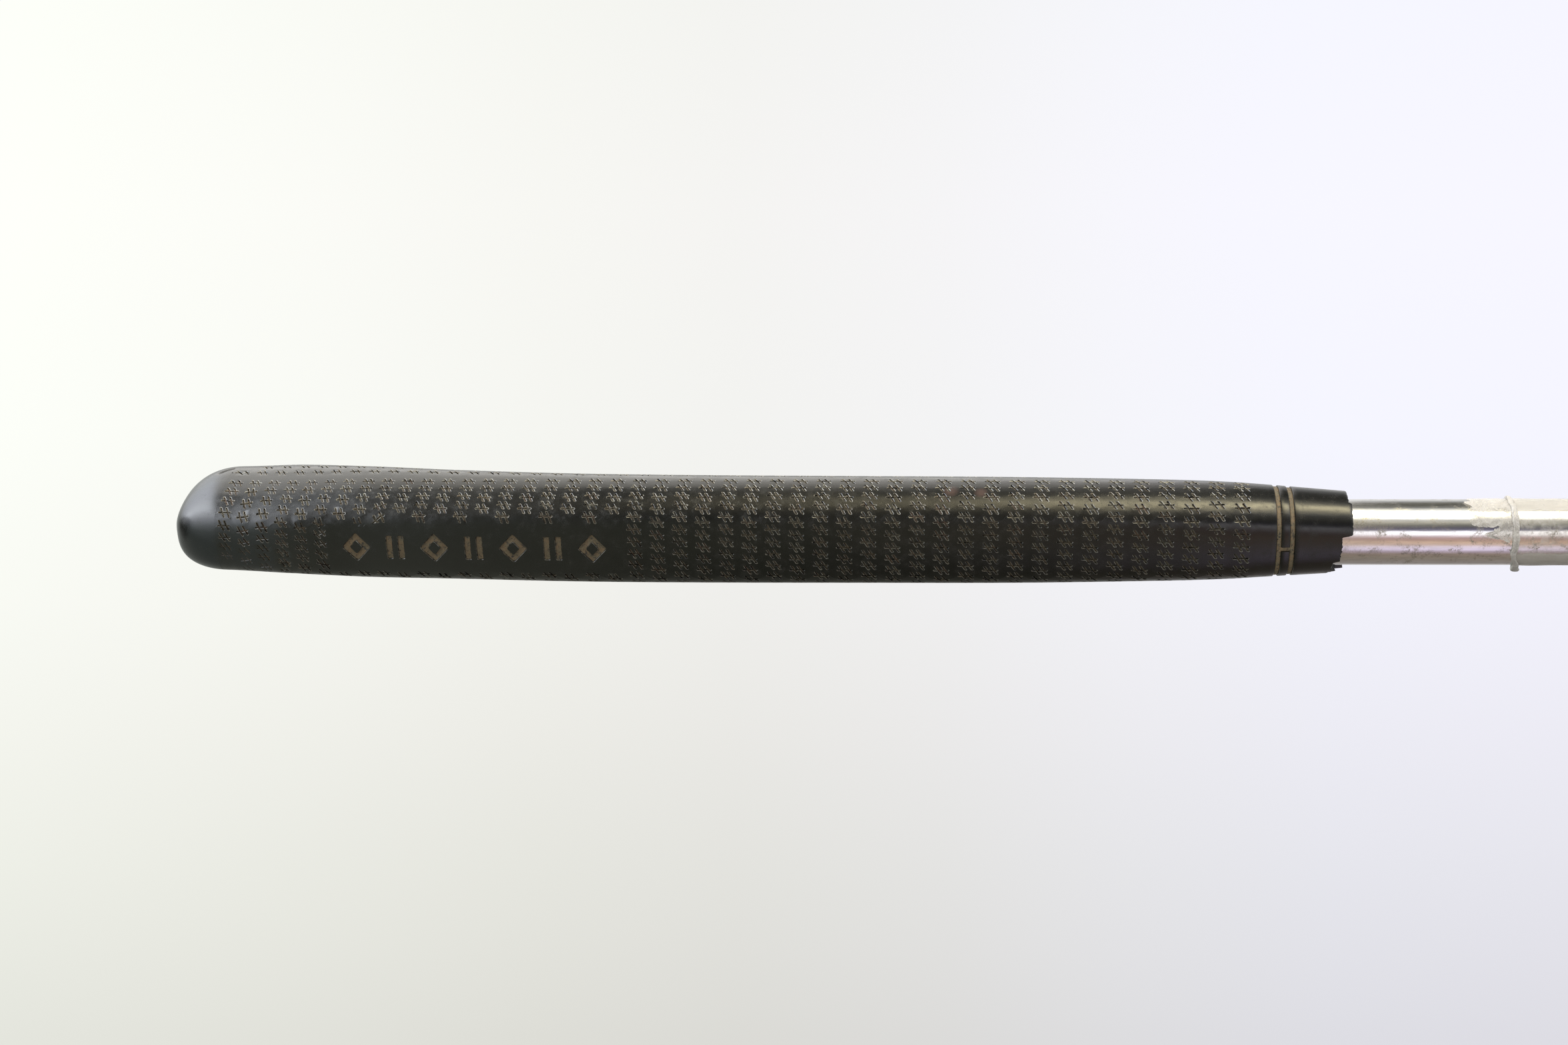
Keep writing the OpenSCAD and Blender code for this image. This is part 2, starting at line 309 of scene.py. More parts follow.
def place(u, t, depth, station=None):
    """Pattern point (u, t, depth) in the frame."""
    v0 = station_of(u) if station is None else station
    arc = arc_of(t, v0) - settle(u, t)
    arc = arc + weave(u, arc) * (1 - window(v0, arc))
    v1 = v0 + lean(v0, angle_at(v0, arc)) * smooth((v0 - CAP_LEN) / 3)
    return skin(v1, angle_at(v1, arc * half_at(v1) / half_at(v0)), depth)


# ---------------------------------------------------------------- mesh helpers
def put(name, verts, faces, materials, sharp, slots=None):
    """A smooth-shaded mesh object from mm points, with edges over sharp degrees kept hard."""
    mesh = bpy.data.meshes.new(name)
    mesh.from_pydata((np.asarray(verts) / 1000.0).tolist(), [], [list(map(int, f)) for f in faces])
    for material in materials:
        mesh.materials.append(material)
    if slots is not None:
        mesh.polygons.foreach_set("material_index", np.array(slots, np.int32))
    mesh.validate()
    mesh.update()
    mesh.shade_smooth()
    mesh.set_sharp_from_angle(angle=math.radians(sharp))
    ob = bpy.data.objects.new(name, mesh)
    bpy.context.scene.collection.objects.link(ob)
    return ob


def dress(ob, slot, *replaced):
    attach(ob, "root")
    if replaced:
        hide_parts(*replaced)


class Bag:
    """Gathers points and faces, each face with a material slot."""

    def __init__(self):
        self.points, self.faces, self.slots = [], [], []
        self.count = 0

    def add(self, points, faces, slots=0):
        points = np.asarray(points, float).reshape(-1, 3)
        self.points.append(points)
        self.faces.extend([[i + self.count for i in f] for f in faces])
        self.slots += [slots] * len(faces) if isinstance(slots, int) else slots
        self.count += len(points)

    def weld(self, grid=1e-4):
        """Points and faces with coinciding points shared; collapsed faces and slots go."""
        points = np.concatenate(self.points)
        key = np.round(points / grid).astype(np.int64)
        _, first, shared = np.unique(key, axis=0, return_index=True, return_inverse=True)
        shared = shared.ravel()
        faces, slots = [], []
        for face, slot in zip(self.faces, self.slots):
            g = [int(shared[i]) for i in face]
            h = [g[i] for i in range(len(g)) if g[i] != g[i - 1]]
            if len(set(h)) > 2:
                faces.append(h)
                slots.append(slot)
        self.slots = slots
        return points[first], faces


def grid_faces(rows, columns, wrap=False, flip=False, closed=False):
    """Quads over rows of points; wrap joins each row's ends, closed joins the last row to the first."""
    out = []
    for j in range(rows if closed else rows - 1):
        j2 = (j + 1) % rows
        for i in range(columns if wrap else columns - 1):
            i2 = (i + 1) % columns
            f = [j * columns + i, j * columns + i2, j2 * columns + i2, j2 * columns + i]
            out.append(f[::-1] if flip else f)
    return out


def polar(x, radius, angle):
    """Points about the axis, with the angle running from +Y towards +Z."""
    return np.stack(np.broadcast_arrays(x, radius * np.cos(angle), radius * np.sin(angle)), -1)


def doubled_area(p):
    """Positive for a counter-clockwise loop."""
    return np.sum(p[:, 0] * np.roll(p[:, 1], -1) - np.roll(p[:, 0], -1) * p[:, 1])


def offset_loop(loop, distance):
    """Moves a counter-clockwise loop inwards."""
    p = np.asarray(loop, float)

    def normals(edge):
        length = np.linalg.norm(edge, axis=1)[:, None] + 1e-9
        return np.stack([-edge[:, 1], edge[:, 0]], 1) / length

    n0 = normals(p - np.roll(p, 1, 0))
    m = n0 + normals(np.roll(p, -1, 0) - p)
    m /= np.linalg.norm(m, axis=1)[:, None] + 1e-9
    c = np.clip((m * n0).sum(1), 0.5, 1)
    return p + m * (distance / c)[:, None]


def inside(points, loop):
    points, loop = np.asarray(points, float), np.asarray(loop, float)
    x, y = points[:, :1], points[:, 1:]
    xi, yi = loop[:, 0][None], loop[:, 1][None]
    xj, yj = np.roll(loop[:, 0], 1)[None], np.roll(loop[:, 1], 1)[None]
    rise = np.where(yj == yi, 1e-12, yj - yi)
    crossed = ((yi > y) != (yj > y)) & (x < (xj - xi) * (y - yi) / rise + xi)
    return crossed.sum(1) % 2 == 1


def inside_any(points, loops):
    hit = np.zeros(len(points), bool)
    for loop in loops:
        hit |= inside(points, loop)
    return hit


def triangulate(border, loops=(), extra=(), keep=None):
    """Triangles within the border that follow the loops, where keep passes their middles."""
    points, edges = [], []
    for loop in [border, *loops]:
        b, n = len(points), len(loop)
        points += [Vector((float(x), float(y))) for x, y in loop]
        edges += [(b + i, b + (i + 1) % n) for i in range(n)]
    points += [Vector((float(x), float(y))) for x, y in extra]
    verts, _, faces, _, _, _ = delaunay_2d_cdt(points, edges, [], 0, 1e-7)
    verts = np.array([tuple(v) for v in verts])
    faces = np.array([list(f) for f in faces])
    middles = verts[faces].mean(1)
    wanted = inside(middles, border)
    if keep:
        wanted &= keep(middles)
    out = []
    for face in faces[wanted]:
        g = [int(k) for k in face]
        out.append(g[::-1] if doubled_area(verts[g]) < 0 else g)
    return verts, out


def round_corners(loop, radius, count):
    """Rounds a loop's corners with count points each."""
    p = np.asarray(loop, float)
    out = []
    for i, corner in enumerate(p):
        before, after = p[i - 1] - corner, p[(i + 1) % len(p)] - corner
        l0, l1 = np.linalg.norm(before), np.linalg.norm(after)
        d = min(radius, 0.45 * l0, 0.45 * l1)
        start, end = corner + before / l0 * d, corner + after / l1 * d
        for t in np.arange(count) / (count - 1):
            out.append((1 - t)**2 * start + 2 * t * (1 - t) * corner + t * t * end)
    return np.array(out)


def dense(loop, step=0.7):
    """Splits a loop's long edges."""
    out = []
    for i, a in enumerate(loop):
        b = loop[(i + 1) % len(loop)]
        n = max(1, int(round(np.linalg.norm(b - a) / step)))
        out += [a + (b - a) * k / n for k in range(n)]
    return np.array(out)


def box_border(u0, u1, t0, t1, nu, nt):
    """Counter-clockwise points around a rectangle of the pattern."""
    du, dt = u1 - u0, t1 - t0
    border = [(u0 + du * i / nu, t0) for i in range(nu)]
    border += [(u1, t0 + dt * i / nt) for i in range(nt)]
    border += [(u1 - du * i / nu, t1) for i in range(nu)]
    border += [(u0, t1 - dt * i / nt) for i in range(nt)]
    return border


# ---------------------------------------------------------------- one mark and its cell
MARK_PITCH = 5.2                  # column pitch the mark is drawn at
DASH_HALF, DASH_THICK = 1.66, 0.165
STROKE_HALF, STROKE_THICK = 1.16, 0.235   # half height and half thickness
STROKE_LEAN = 0.68 / STROKE_HALF
STROKES = (-0.60, 0.80)           # places of the strokes along the dash
CORNER_CUT = 0.13


def mark_loop():
    """A dash crossed by two slanted strokes, about its middle."""
    def stroke(middle, side):
        corners = ((DASH_THICK, 1), (STROKE_HALF, 1), (STROKE_HALF, -1), (DASH_THICK, -1))
        return [(middle - STROKE_LEAN * side * y + edge * side * STROKE_THICK, side * y)
                for y, edge in corners]

    left, right = STROKES
    loop = [(-DASH_HALF, -DASH_THICK), *stroke(left, -1), *stroke(right, -1),
            (DASH_HALF, -DASH_THICK), (DASH_HALF, DASH_THICK),
            *stroke(right, 1), *stroke(left, 1), (-DASH_HALF, DASH_THICK)]
    out = []
    for i, (x, y) in enumerate(loop):
        corner = np.array((x, y), float)
        if abs(x) == DASH_HALF or abs(y) == STROKE_HALF:
            for other in (loop[i - 1], loop[(i + 1) % len(loop)]):
                d = np.array(other) - corner
                length = np.linalg.norm(d)
                out.append(corner + d / length * min(CORNER_CUT, 0.4 * length))
        else:
            out.append(corner)
    return np.array(out)


# the mark's rim, shoulder and floor: inward offsets and depths
MARK_RINGS = [offset_loop(mark_loop(), d) / [MARK_PITCH, ROW_PITCH] for d in (-0.10, 0.02, 0.085)]
MARK_DEPTHS = (0.0, 0.075, 0.42)
FILL_RISE = 0.035                 # the paint lies this much above the floor
MARK_COUNT = len(MARK_RINGS[0])
CELL_POINTS, CELL_FACES = triangulate(
    box_border(-0.5, 0.5, -0.5, 0.5, CELL_NU, CELL_NT), [MARK_RINGS[0]],
    keep=lambda middles: ~inside(middles, MARK_RINGS[0]))
FLOOR_POINTS, FLOOR_FACES = triangulate(MARK_RINGS[2])
PLAIN_POINTS = np.array([(u, t) for t in np.linspace(-0.5, 0.5, CELL_NT + 1)
                         for u in np.linspace(-0.5, 0.5, CELL_NU + 1)])
PLAIN_FACES = grid_faces(CELL_NT + 1, CELL_NU + 1)

RUBBER_SLOT, RIM_SLOT, WALL_SLOT = 0, 1, 2

# running share and colour of the mark paints; the colours are kept dark, partly the paint's own tone
# and partly painted shade on the recess floors
MARK_PAINTS = (
    (0.50, (0.070, 0.060, 0.034)),
    (0.78, (0.085, 0.066, 0.040)),
    (0.90, (0.085, 0.046, 0.027)),
    (1.00, (0.045, 0.039, 0.028)),
)

# the sheet that holds the emblem replaces the cells between these edges
EMBLEM_U = tuple(math.floor(u_of(v)) + 0.5 for v in (36.5, 104.5))
EMBLEM_T = 2


def squeeze(t, ratio):
    """Row offset in a cell, so that the mark keeps its size whatever the row's width."""
    mark = 0.40
    squeezed = min(mark / ratio, 0.47)
    m = np.abs(t)
    outer = squeezed + (m - mark) * (0.5 - squeezed) / (0.5 - mark)
    return np.sign(t) * np.where(m <= mark, m * squeezed / mark, outer)


def is_plain(column, u, t, station, arc):
    """Cells without a mark: the parting line, around the emblem, and some beside the cap."""
    return (ROWS < abs(t) < ROWS + 1
            or (36.0 < station < 104.5 and -5.8 < arc + weave(u, arc) < 7.35)
            or (column == 0 and (arc < -3 or arc > 27)))


def add_cells(sleeve, fills):
    """Lays the cells and the paint in their marks; returns the paint's vertex colours."""
    tints = []
    for column in range(int(U_LAST - U_FIRST)):
        u_mid = U_FIRST + 0.5 + column
        station = float(station_of(u_mid))
        for row in range(2 * T_MAX):
            t_mid = -T_MAX + 0.5 + row
            if EMBLEM_U[0] < u_mid < EMBLEM_U[1] and abs(t_mid) < EMBLEM_T:
                continue
            arc = float(arc_of(t_mid, station))
            if is_plain(column, u_mid, t_mid, station, arc):
                points = place(u_mid + PLAIN_POINTS[:, 0], t_mid + PLAIN_POINTS[:, 1], 0)
                sleeve.add(points, PLAIN_FACES)
                continue
            ratio = 1.0 if abs(t_mid) < ROWS else float(back_pitch(station)) / ROW_PITCH
            # marks below the middle grow shallow towards the cap
            near_cap = float(smooth((40 - station) / 26))
            below = float(smooth((6 - arc) / 6)) * (arc > -26)
            strength = 1 - 0.88 * near_cap * below
            deep = (0.86 + 0.28 * rng.random()) * strength
            rng.normal(size=2)    # two unused draws that keep the later ones in step

            def laid(points, depth):
                return place(u_mid + points[:, 0], t_mid + squeeze(points[:, 1], ratio), depth)

            sleeve.add(laid(CELL_POINTS, 0), CELL_FACES)
            rings = [laid(ring, d * deep) for ring, d in zip(MARK_RINGS, MARK_DEPTHS)]
            slots = RUBBER_SLOT
            # the rim faces take the cream rim paint, which is partly a painted highlight on the marks'
            # edges
            if strength > 0.45:
                slots = [RIM_SLOT] * MARK_COUNT + [WALL_SLOT] * MARK_COUNT
            sleeve.add(np.concatenate(rings), grid_faces(3, MARK_COUNT, wrap=True), slots)
            fills.add(laid(FLOOR_POINTS, (MARK_DEPTHS[2] - FILL_RISE) * deep), FLOOR_FACES)
            kind = rng.random()
            tone = 0.75 + 0.5 * rng.random()
            colour = next(c for share, c in MARK_PAINTS if kind < share)
            tint = tuple(x * tone for x in colour) + (0.5 + 0.5 * strength,)
            tints += [tint] * len(FLOOR_POINTS)
    return tints


# ---------------------------------------------------------------- emblem
FIGURE_COUNT, FIGURE_PITCH = 7, 9.05
FIGURE_MIDDLE = 71.2              # station of the middle figure
DIAMOND = (3.4, 3.7)              # half sizes along and across the grip
BAR_WIDTH = 1.5
BAR_PLACE = 1.36                  # of the paired bars, each side of their middle
EMBLEM_RISE = 0.3                 # the emblem sits this far above the middle of the thumb face
EMBLEM_DEPTHS = (0.0, 0.11, 0.56)
OUTER_OFFSETS = (0, 0.10, 0.17)
INNER_OFFSETS = (0, 0.08, 0.13)
INLAY_DEPTHS = (0.33, 0.40)       # at the walls, and across the dish
INLAY_OUTER, INLAY_INNER = (0.165, 0.34), (0.125, 0.29)


def emblem_figures():
    """Station, outer loops and inner loops of each figure: open diamonds and pairs of bars."""
    w, h = DIAMOND
    band = 1.35 * BAR_WIDTH

    def diamond(w, h, radius, count):
        return dense(round_corners([(w, 0), (0, h), (-w, 0), (0, -h)], radius, count))

    def bar(x):
        x0, x1, y = x - BAR_WIDTH / 2, x + BAR_WIDTH / 2, h * 0.8
        return dense(round_corners([(x0, -y), (x1, -y), (x1, y), (x0, y)], 0.35, 4))

    out = []
    for k in range(FIGURE_COUNT):
        station = FIGURE_MIDDLE + (k - FIGURE_COUNT // 2) * FIGURE_PITCH
        if k % 2 == 0:
            inner = diamond(w - band, h - band * 1.02, 0.3, 3)
            out.append((station, [diamond(w, h, 0.55, 4)], [inner]))
        else:
            out.append((station, [bar(-BAR_PLACE), bar(BAR_PLACE)], []))
    return out


def in_window(loop, station):
    """A figure's loop as (u, t)."""
    return np.stack([u_of(station + loop[:, 0]), (loop[:, 1] + EMBLEM_RISE) / ROW_PITCH], 1)


def add_emblem_sheet(sleeve, figures):
    """The plain window with the figures sunk into it."""
    rims, walls, holes = [], [], []
    for station, outers, inners in figures:
        inner_rims = [in_window(loop, station) for loop in inners]
        for loop in outers:
            rims.append(in_window(loop, station))
            holes.append((rims[-1], inner_rims))
            walls.append([in_window(offset_loop(loop, d), station) for d in OUTER_OFFSETS])
        for loop in inners:
            rims.append(in_window(loop, station))
            walls.append([in_window(offset_loop(loop, -d), station)[::-1] for d in INNER_OFFSETS])

    def solid(middles):
        out = np.ones(len(middles), bool)
        for outer, inner_rims in holes:
            out &= ~(inside(middles, outer) & ~inside_any(middles, inner_rims))
        return out

    (u0, u1), t1 = EMBLEM_U, EMBLEM_T
    nu, nt = int(round((u1 - u0) * CELL_NU)), 2 * t1 * CELL_NT
    rim_points = np.concatenate(rims)
    extra = []
    for u in np.linspace(u0, u1, nu + 1)[1:-1]:
        for t in np.linspace(-t1, t1, nt + 1)[1:-1]:
            gap = np.hypot((rim_points[:, 0] - u) * 4.8, (rim_points[:, 1] - t) * ROW_PITCH)
            if np.min(gap) > 0.35:
                extra.append((u, t))
    points, faces = triangulate(box_border(u0, u1, -t1, t1, nu, nt), rims, extra, solid)
    sleeve.add(place(points[:, 0], points[:, 1], 0), faces)
    for wall in walls:
        n = len(wall[0])
        points = [place(p[:, 0], p[:, 1], d) for p, d in zip(wall, EMBLEM_DEPTHS)]
        # the figures' rims take the cream rim paint, which is partly a painted highlight: the lit edges
        # of the figures
        slots = [RIM_SLOT] * n + [WALL_SLOT] * n
        sleeve.add(np.concatenate(points), grid_faces(3, n, wrap=True), slots)


def emblem_inlay(figures):
    """Tan fill: shallow dishes that climb the walls a little."""
    inlay = Bag()
    for station, outers, inners in figures:
        for loop in outers:
            edge, dish = [in_window(offset_loop(loop, d), station) for d in INLAY_OUTER]
            inner = [[in_window(offset_loop(i, -d), station) for d in INLAY_INNER] for i in inners]
            islands = [pair[1] for pair in inner]
            points, faces = triangulate(dish, islands,
                                        keep=lambda middles: ~inside_any(middles, islands))
            inlay.add(place(points[:, 0], points[:, 1], INLAY_DEPTHS[1]), faces)
            for k, skirt in enumerate([(edge, dish), *inner]):
                points = [place(p[:, 0], p[:, 1], d) for p, d in zip(skirt, INLAY_DEPTHS)]
                faces = grid_faces(2, len(skirt[0]), wrap=True, flip=k > 0)
                inlay.add(np.concatenate(points), faces)
    return inlay


# ---------------------------------------------------------------- plain ends, rings and torn mouth
HALF_COLLAR = float(half_at(COLLAR))
BELT_ARCS = np.unique(np.round(np.concatenate([
    np.linspace(-HALF_COLLAR, HALF_COLLAR, 241),
    [-LINK_HALF - 0.05, -LINK_HALF + 0.03, LINK_HALF - 0.03, LINK_HALF + 0.05]]), 4))
IN_LINK = np.abs(BELT_ARCS) < LINK_HALF

# arc length and station of the mouth's rim; the low stretch is where it is torn away
MOUTH_EDGE = np.array([
    (-33, 267.7), (-15.2, 267.6), (-14.9, 265.2), (-12.6, 264.9), (-12.3, 263.4), (-8.2, 263.2),
    (-7.9, 265.0), (-7.4, 264.6), (-7.2, 263.9), (-3.9, 264.1), (-3.6, 265.7), (2.9, 265.9),
    (3.15, 268.1), (12.0, 268.15), (12.3, 267.5), (33, 267.8),
])


def belt(arcs, station, depth):
    """Points around the grip, with the arcs measured at the collar."""
    return skin(station, angle_at(station, arcs * half_at(station) / HALF_COLLAR), depth)


def add_belts(bag, arcs, rows):
    """A strip through rows of (station, depth)."""
    points = [belt(arcs, station, depth) for station, depth in rows]
    bag.add(np.concatenate(points), grid_faces(len(rows), len(arcs), flip=True))


def add_plain_ends(sleeve):
    """From the cap's seam to the pattern, and from the pattern into the first groove."""
    ts = np.linspace(-T_MAX, T_MAX, 2 * T_MAX * CELL_NT + 1)

    def strip(profile):
        points = [place(float(u_of(v)), ts, depth, station=v) for v, depth in profile]
        sleeve.add(np.concatenate(points), grid_faces(len(points), len(ts), flip=True))

    strip([(v, 0) for v in np.linspace(CAP_LEN, float(station_of(U_FIRST)), 4)])
    edge = RINGS[0] - RING_HALF
    profile = [(v, 0) for v in np.linspace(float(station_of(U_LAST)), edge - 0.12, 6)]
    profile += [(edge - 0.03, 0.02), (edge + 0.03, 0.09), (edge + 0.08, GROOVE),
                (RINGS[0], GROOVE + 0.02)]
    strip(profile)


def groove_wall(ring, side):
    """(station, depth) from a groove's middle up to its edge; side 1 is towards the mouth."""
    return [(ring - side * 0.02, GROOVE + 0.02), (ring + side * (RING_HALF - 0.08), GROOVE),
            (ring + side * (RING_HALF - 0.03), 0.10), (ring + side * (RING_HALF + 0.03), 0.02)]


def add_ridge(sleeve):
    """The ridge between the grooves, with the link channel across it."""
    first, second = RINGS
    rows = groove_wall(first, 1)
    rows += [(first + RING_HALF + 0.12, 0), ((first + second) / 2, 0),
             (second - RING_HALF - 0.12, 0)]
    rows += groove_wall(second, -1)[::-1]
    rows = [(v, np.where(IN_LINK, max(depth, GROOVE), depth)) for v, depth in rows]
    add_belts(sleeve, BELT_ARCS, rows)


def torn_rim():
    """Station of the mouth's rim at each belt arc."""
    jag = np.convolve(rng.normal(0, 1, 800), [0.2, 0.6, 1, 0.6, 0.2], "same")
    slow = np.convolve(rng.normal(0, 1, 800), np.hanning(25), "same")
    slow /= np.abs(slow).max()
    i = ((BELT_ARCS + HALF_COLLAR) / (2 * HALF_COLLAR) * 770).astype(int) + 10
    i = np.clip(i, 0, 799)
    size = np.where((BELT_ARCS > -15.5) & (BELT_ARCS < 3.4), 0.16, 0.045)
    base = np.interp(BELT_ARCS, MOUTH_EDGE[:, 0], MOUTH_EDGE[:, 1])
    return base + jag[i] * size * 0.5 + slow[i] * size


def add_mouth(sleeve):
    """From the second groove to the torn rim, over it, and back through the bore to the seam."""
    rim = torn_rim()
    rows = groove_wall(RINGS[1], 1)
    rows += [(RINGS[1] + RING_HALF + 0.15, 0), (256.6, 0), (COLLAR, 0)]
    rows += [(COLLAR + (rim - COLLAR) * s, 0)
             for s in (0.15, 0.3, 0.45, 0.6, 0.72, 0.83, 0.92, 0.975)]
    add_belts(sleeve, BELT_ARCS, rows)

    outer = belt(BELT_ARCS, rim, 0.10)
    angle = np.arctan2(outer[:, 2], outer[:, 1])
    bore = polar(outer[:, 0], BORE_R, angle)
    rough = rng.normal(0, 0.07, (3, len(BELT_ARCS)))
    rings = [belt(BELT_ARCS, *rows[-1]), outer]
    for t, bumps in zip((0.3, 0.6, 0.9), rough):
        points = outer * (1 - t) + bore * t
        points[:, 0] += -0.15 * math.sin(t * 3.1) + bumps
        rings.append(points)
    rings.append(bore)
    for station, radius in ((262.5, BORE_R), (255.0, BORE_R), (200.0, BORE_R), (110.0, BORE_R),
                            (17.7, BORE_R), (17.7, SPIGOT_R), (CAP_LEN + 0.3, SPIGOT_R)):
        rings.append(polar(X0 + station, radius, angle))
    rings.append(belt(BELT_ARCS, CAP_LEN, 0))
    sleeve.add(np.concatenate(rings), grid_faces(len(rings), len(BELT_ARCS), flip=True))


# ---------------------------------------------------------------- node helpers
def rgba(colour):
    if isinstance(colour, (int, float)):
        colour = (colour, colour, colour)
    return tuple(colour) + ((1.0,) if len(colour) == 3 else ())


class Graph:
    """Shader nodes of a material or world; any input may be a value or another node's socket."""

    def __init__(self, owner, output_kind="ShaderNodeOutputMaterial"):
        owner.use_nodes = True
        self.tree = owner.node_tree
        self.tree.nodes.clear()
        self.output = self.node(output_kind)

    def node(self, kind, inputs=None, **settings):
        n = self.tree.nodes.new(kind)
        for name, value in settings.items():
            setattr(n, name, value)
        for key, value in (inputs or {}).items():
            socket = n.inputs[key]
            if isinstance(value, bpy.types.NodeSocket):
                self.tree.links.new(value, socket)
            else:
                socket.default_value = rgba(value) if socket.type == "RGBA" else value
        return n

    def finish(self, shader):
        self.tree.links.new(shader, self.output.inputs[0])

    def coords(self, scale=(1, 1, 1)):
        """Object coordinates in millimetres, stretched by scale."""
        source = self.node("ShaderNodeTexCoord").outputs["Object"]
        size = tuple(1000 * s for s in scale)
        return self.node("ShaderNodeMapping", {0: source, "Scale": size}).outputs[0]

    def separate(self, vector):
        return self.node("ShaderNodeSeparateXYZ", {0: vector}).outputs

    def noise(self, vector, scale, detail, rough, distortion=0.0):
        return self.node("ShaderNodeTexNoise", {
            "Vector": vector, "Scale": scale, "Detail": detail, "Roughness": rough,
            "Distortion": distortion}).outputs[0]

    def ramp(self, value, *stops):
        """Linear ramp through (position, colour or grey) stops."""
        n = self.node("ShaderNodeValToRGB", {0: value})
        elements = n.color_ramp.elements
        while len(elements) > 1:
            elements.remove(elements[-1])
        elements[0].position = stops[0][0]
        elements[0].color = rgba(stops[0][1])
        for position, colour in stops[1:]:
            elements.new(position).color = rgba(colour)
        return n.outputs[0]

    def mix(self, factor, a, b, blend="MIX"):
        return self.node("ShaderNodeMix", {0: factor, 6: a, 7: b},
                         data_type="RGBA", blend_type=blend).outputs[2]

    def mix_shader(self, factor, a, b):
        return self.node("ShaderNodeMixShader", {0: factor, 1: a, 2: b}).outputs[0]

    def math(self, operation, a, b, clamp=False):
        return self.node("ShaderNodeMath", {0: a, 1: b}, operation=operation,
                         use_clamp=clamp).outputs[0]

    def add(self, total, *others):
        for other in others:
            total = self.math("ADD", total, other)
        return total

    def mul(self, product, *others):
        for other in others:
            product = self.math("MULTIPLY", product, other)
        return product

    def bump(self, height, strength, mm, normal=None):
        inputs = {"Strength": strength, "Distance": mm / 1000, "Height": height}
        if normal is not None:
            inputs["Normal"] = normal
        return self.node("ShaderNodeBump", inputs).outputs[0]

    def principled(self, inputs):
        return self.node("ShaderNodeBsdfPrincipled", inputs).outputs[0]


# ---------------------------------------------------------------- materials
def rubber(name, roughness=0.07, worn_paint_and_light=0.0, smudges=()):
    """Dark dusty rubber; worn_paint_and_light is worn paint that also carries painted light, as it is
    made thicker on the upper flank for painted top light; smudges are (centre, size).
    """
    material = bpy.data.materials.new(name)
    g = Graph(material)
    mm = g.coords()
    stretched = g.coords((0.25, 1, 1))
    big = g.noise(stretched, scale=0.055, detail=4, rough=0.6)
    mid = g.noise(mm, scale=0.45, detail=5, rough=0.6)
    fine = g.noise(mm, scale=3.2, detail=4, rough=0.7)
    grain = g.noise(mm, scale=7.0, detail=2, rough=0.6)
    colour = g.ramp(big, (0.30, (0.0042, 0.0044, 0.0042)), (0.55, (0.0062, 0.0062, 0.0050)),
                    (0.75, (0.0105, 0.0095, 0.0066)))
    dust = g.mul(g.ramp(mid, (0.52, 0.0), (0.74, 1.0)), g.ramp(fine, (0.42, 0.0), (0.62, 1.0)))
    colour = g.mix(g.mul(dust, 0.24), colour, (0.040, 0.036, 0.026))
    rough = g.add(g.mul(mid, 0.20), g.mul(big, 0.14), roughness, g.mul(dust, 0.18))
    if worn_paint_and_light:
        worn = g.ramp(g.noise(mm, scale=1.3, detail=4, rough=0.65), (0.42, 0.0), (0.56, 1.0))
        tint = g.ramp(g.noise(mm, scale=0.35, detail=2, rough=0.5),
                      (0.35, (0.56, 0.53, 0.42)), (0.65, (0.38, 0.31, 0.21)))
        # painted top light: the paint is made to cover more of the upper flank than lower down,
        # standing in for the light that falls from above
        height = g.math("MULTIPLY", g.separate(mm)[2], 0.05, clamp=True)
        painted_top_light = g.ramp(height, (0.30, 0.38), (0.50, 1.0))
        colour = g.mix(g.mul(worn, painted_top_light, worn_paint_and_light), colour, tint)
    for centre, size in smudges:
        away = g.node("ShaderNodeVectorMath", {0: mm, 1: centre}, operation="DISTANCE")
        edge = g.add(away.outputs["Value"], g.mul(mid, 1.2))
        spread = g.math("DIVIDE", edge, size + 1.6, clamp=True)
        colour = g.mix(g.ramp(spread, (0.45, 0.55), (1.0, 0.0)), colour, (0.135, 0.078, 0.062))
    texture = g.bump(g.add(g.mul(fine, 0.6), g.mul(grain, 0.5)), strength=0.16, mm=0.05)
    waves = g.noise(stretched, scale=0.22, detail=3, rough=0.5)
    g.finish(g.principled({
        "Base Color": colour, "Roughness": rough, "Specular IOR Level": 0.55, "IOR": 1.50,
        "Normal": g.bump(waves, strength=0.35, mm=0.22, normal=texture)}))
    return material


def paint(name, tone=None):
    """Worn, dirty paint; without a tone, its colour and coverage come from the tint attribute."""
    material = bpy.data.materials.new(name)
    g = Graph(material)
    mm = g.coords()
    wear = g.noise(mm, scale=1.5, detail=5, rough=0.65)
    spot = g.noise(mm, scale=5.5, detail=4, rough=0.7)
    kept = g.ramp(wear, (0.36, 0.06), (0.46, 1.0))
    if tone is None:
        tint = g.node("ShaderNodeAttribute", attribute_name="tint").outputs
        tone = tint["Color"]
        stain = (0.13, 0.082, 0.042)
        kept = g.mul(kept, tint["Alpha"])
    else:
        stain = tuple(a * b for a, b in zip(tone, (1.35, 1.0, 0.85)))
    colour = g.mix(g.ramp(spot, (0.38, 0.0), (0.66, 0.75)), tone, (0.045, 0.038, 0.028))
    patches = g.ramp(g.noise(mm, scale=0.8, detail=3, rough=0.5), (0.35, 0.0), (0.7, 1.0))
    colour = g.mix(g.mul(patches, 0.5), colour, stain)
    g.finish(g.principled({
        "Base Color": g.mix(kept, (0.02, 0.019, 0.017), colour),
        "Roughness": g.ramp(spot, (0.3, 0.42), (0.7, 0.72)),
        "Specular IOR Level": 0.45,
        "Normal": g.bump(g.add(spot, wear), strength=0.5, mm=0.07)}))
    return material


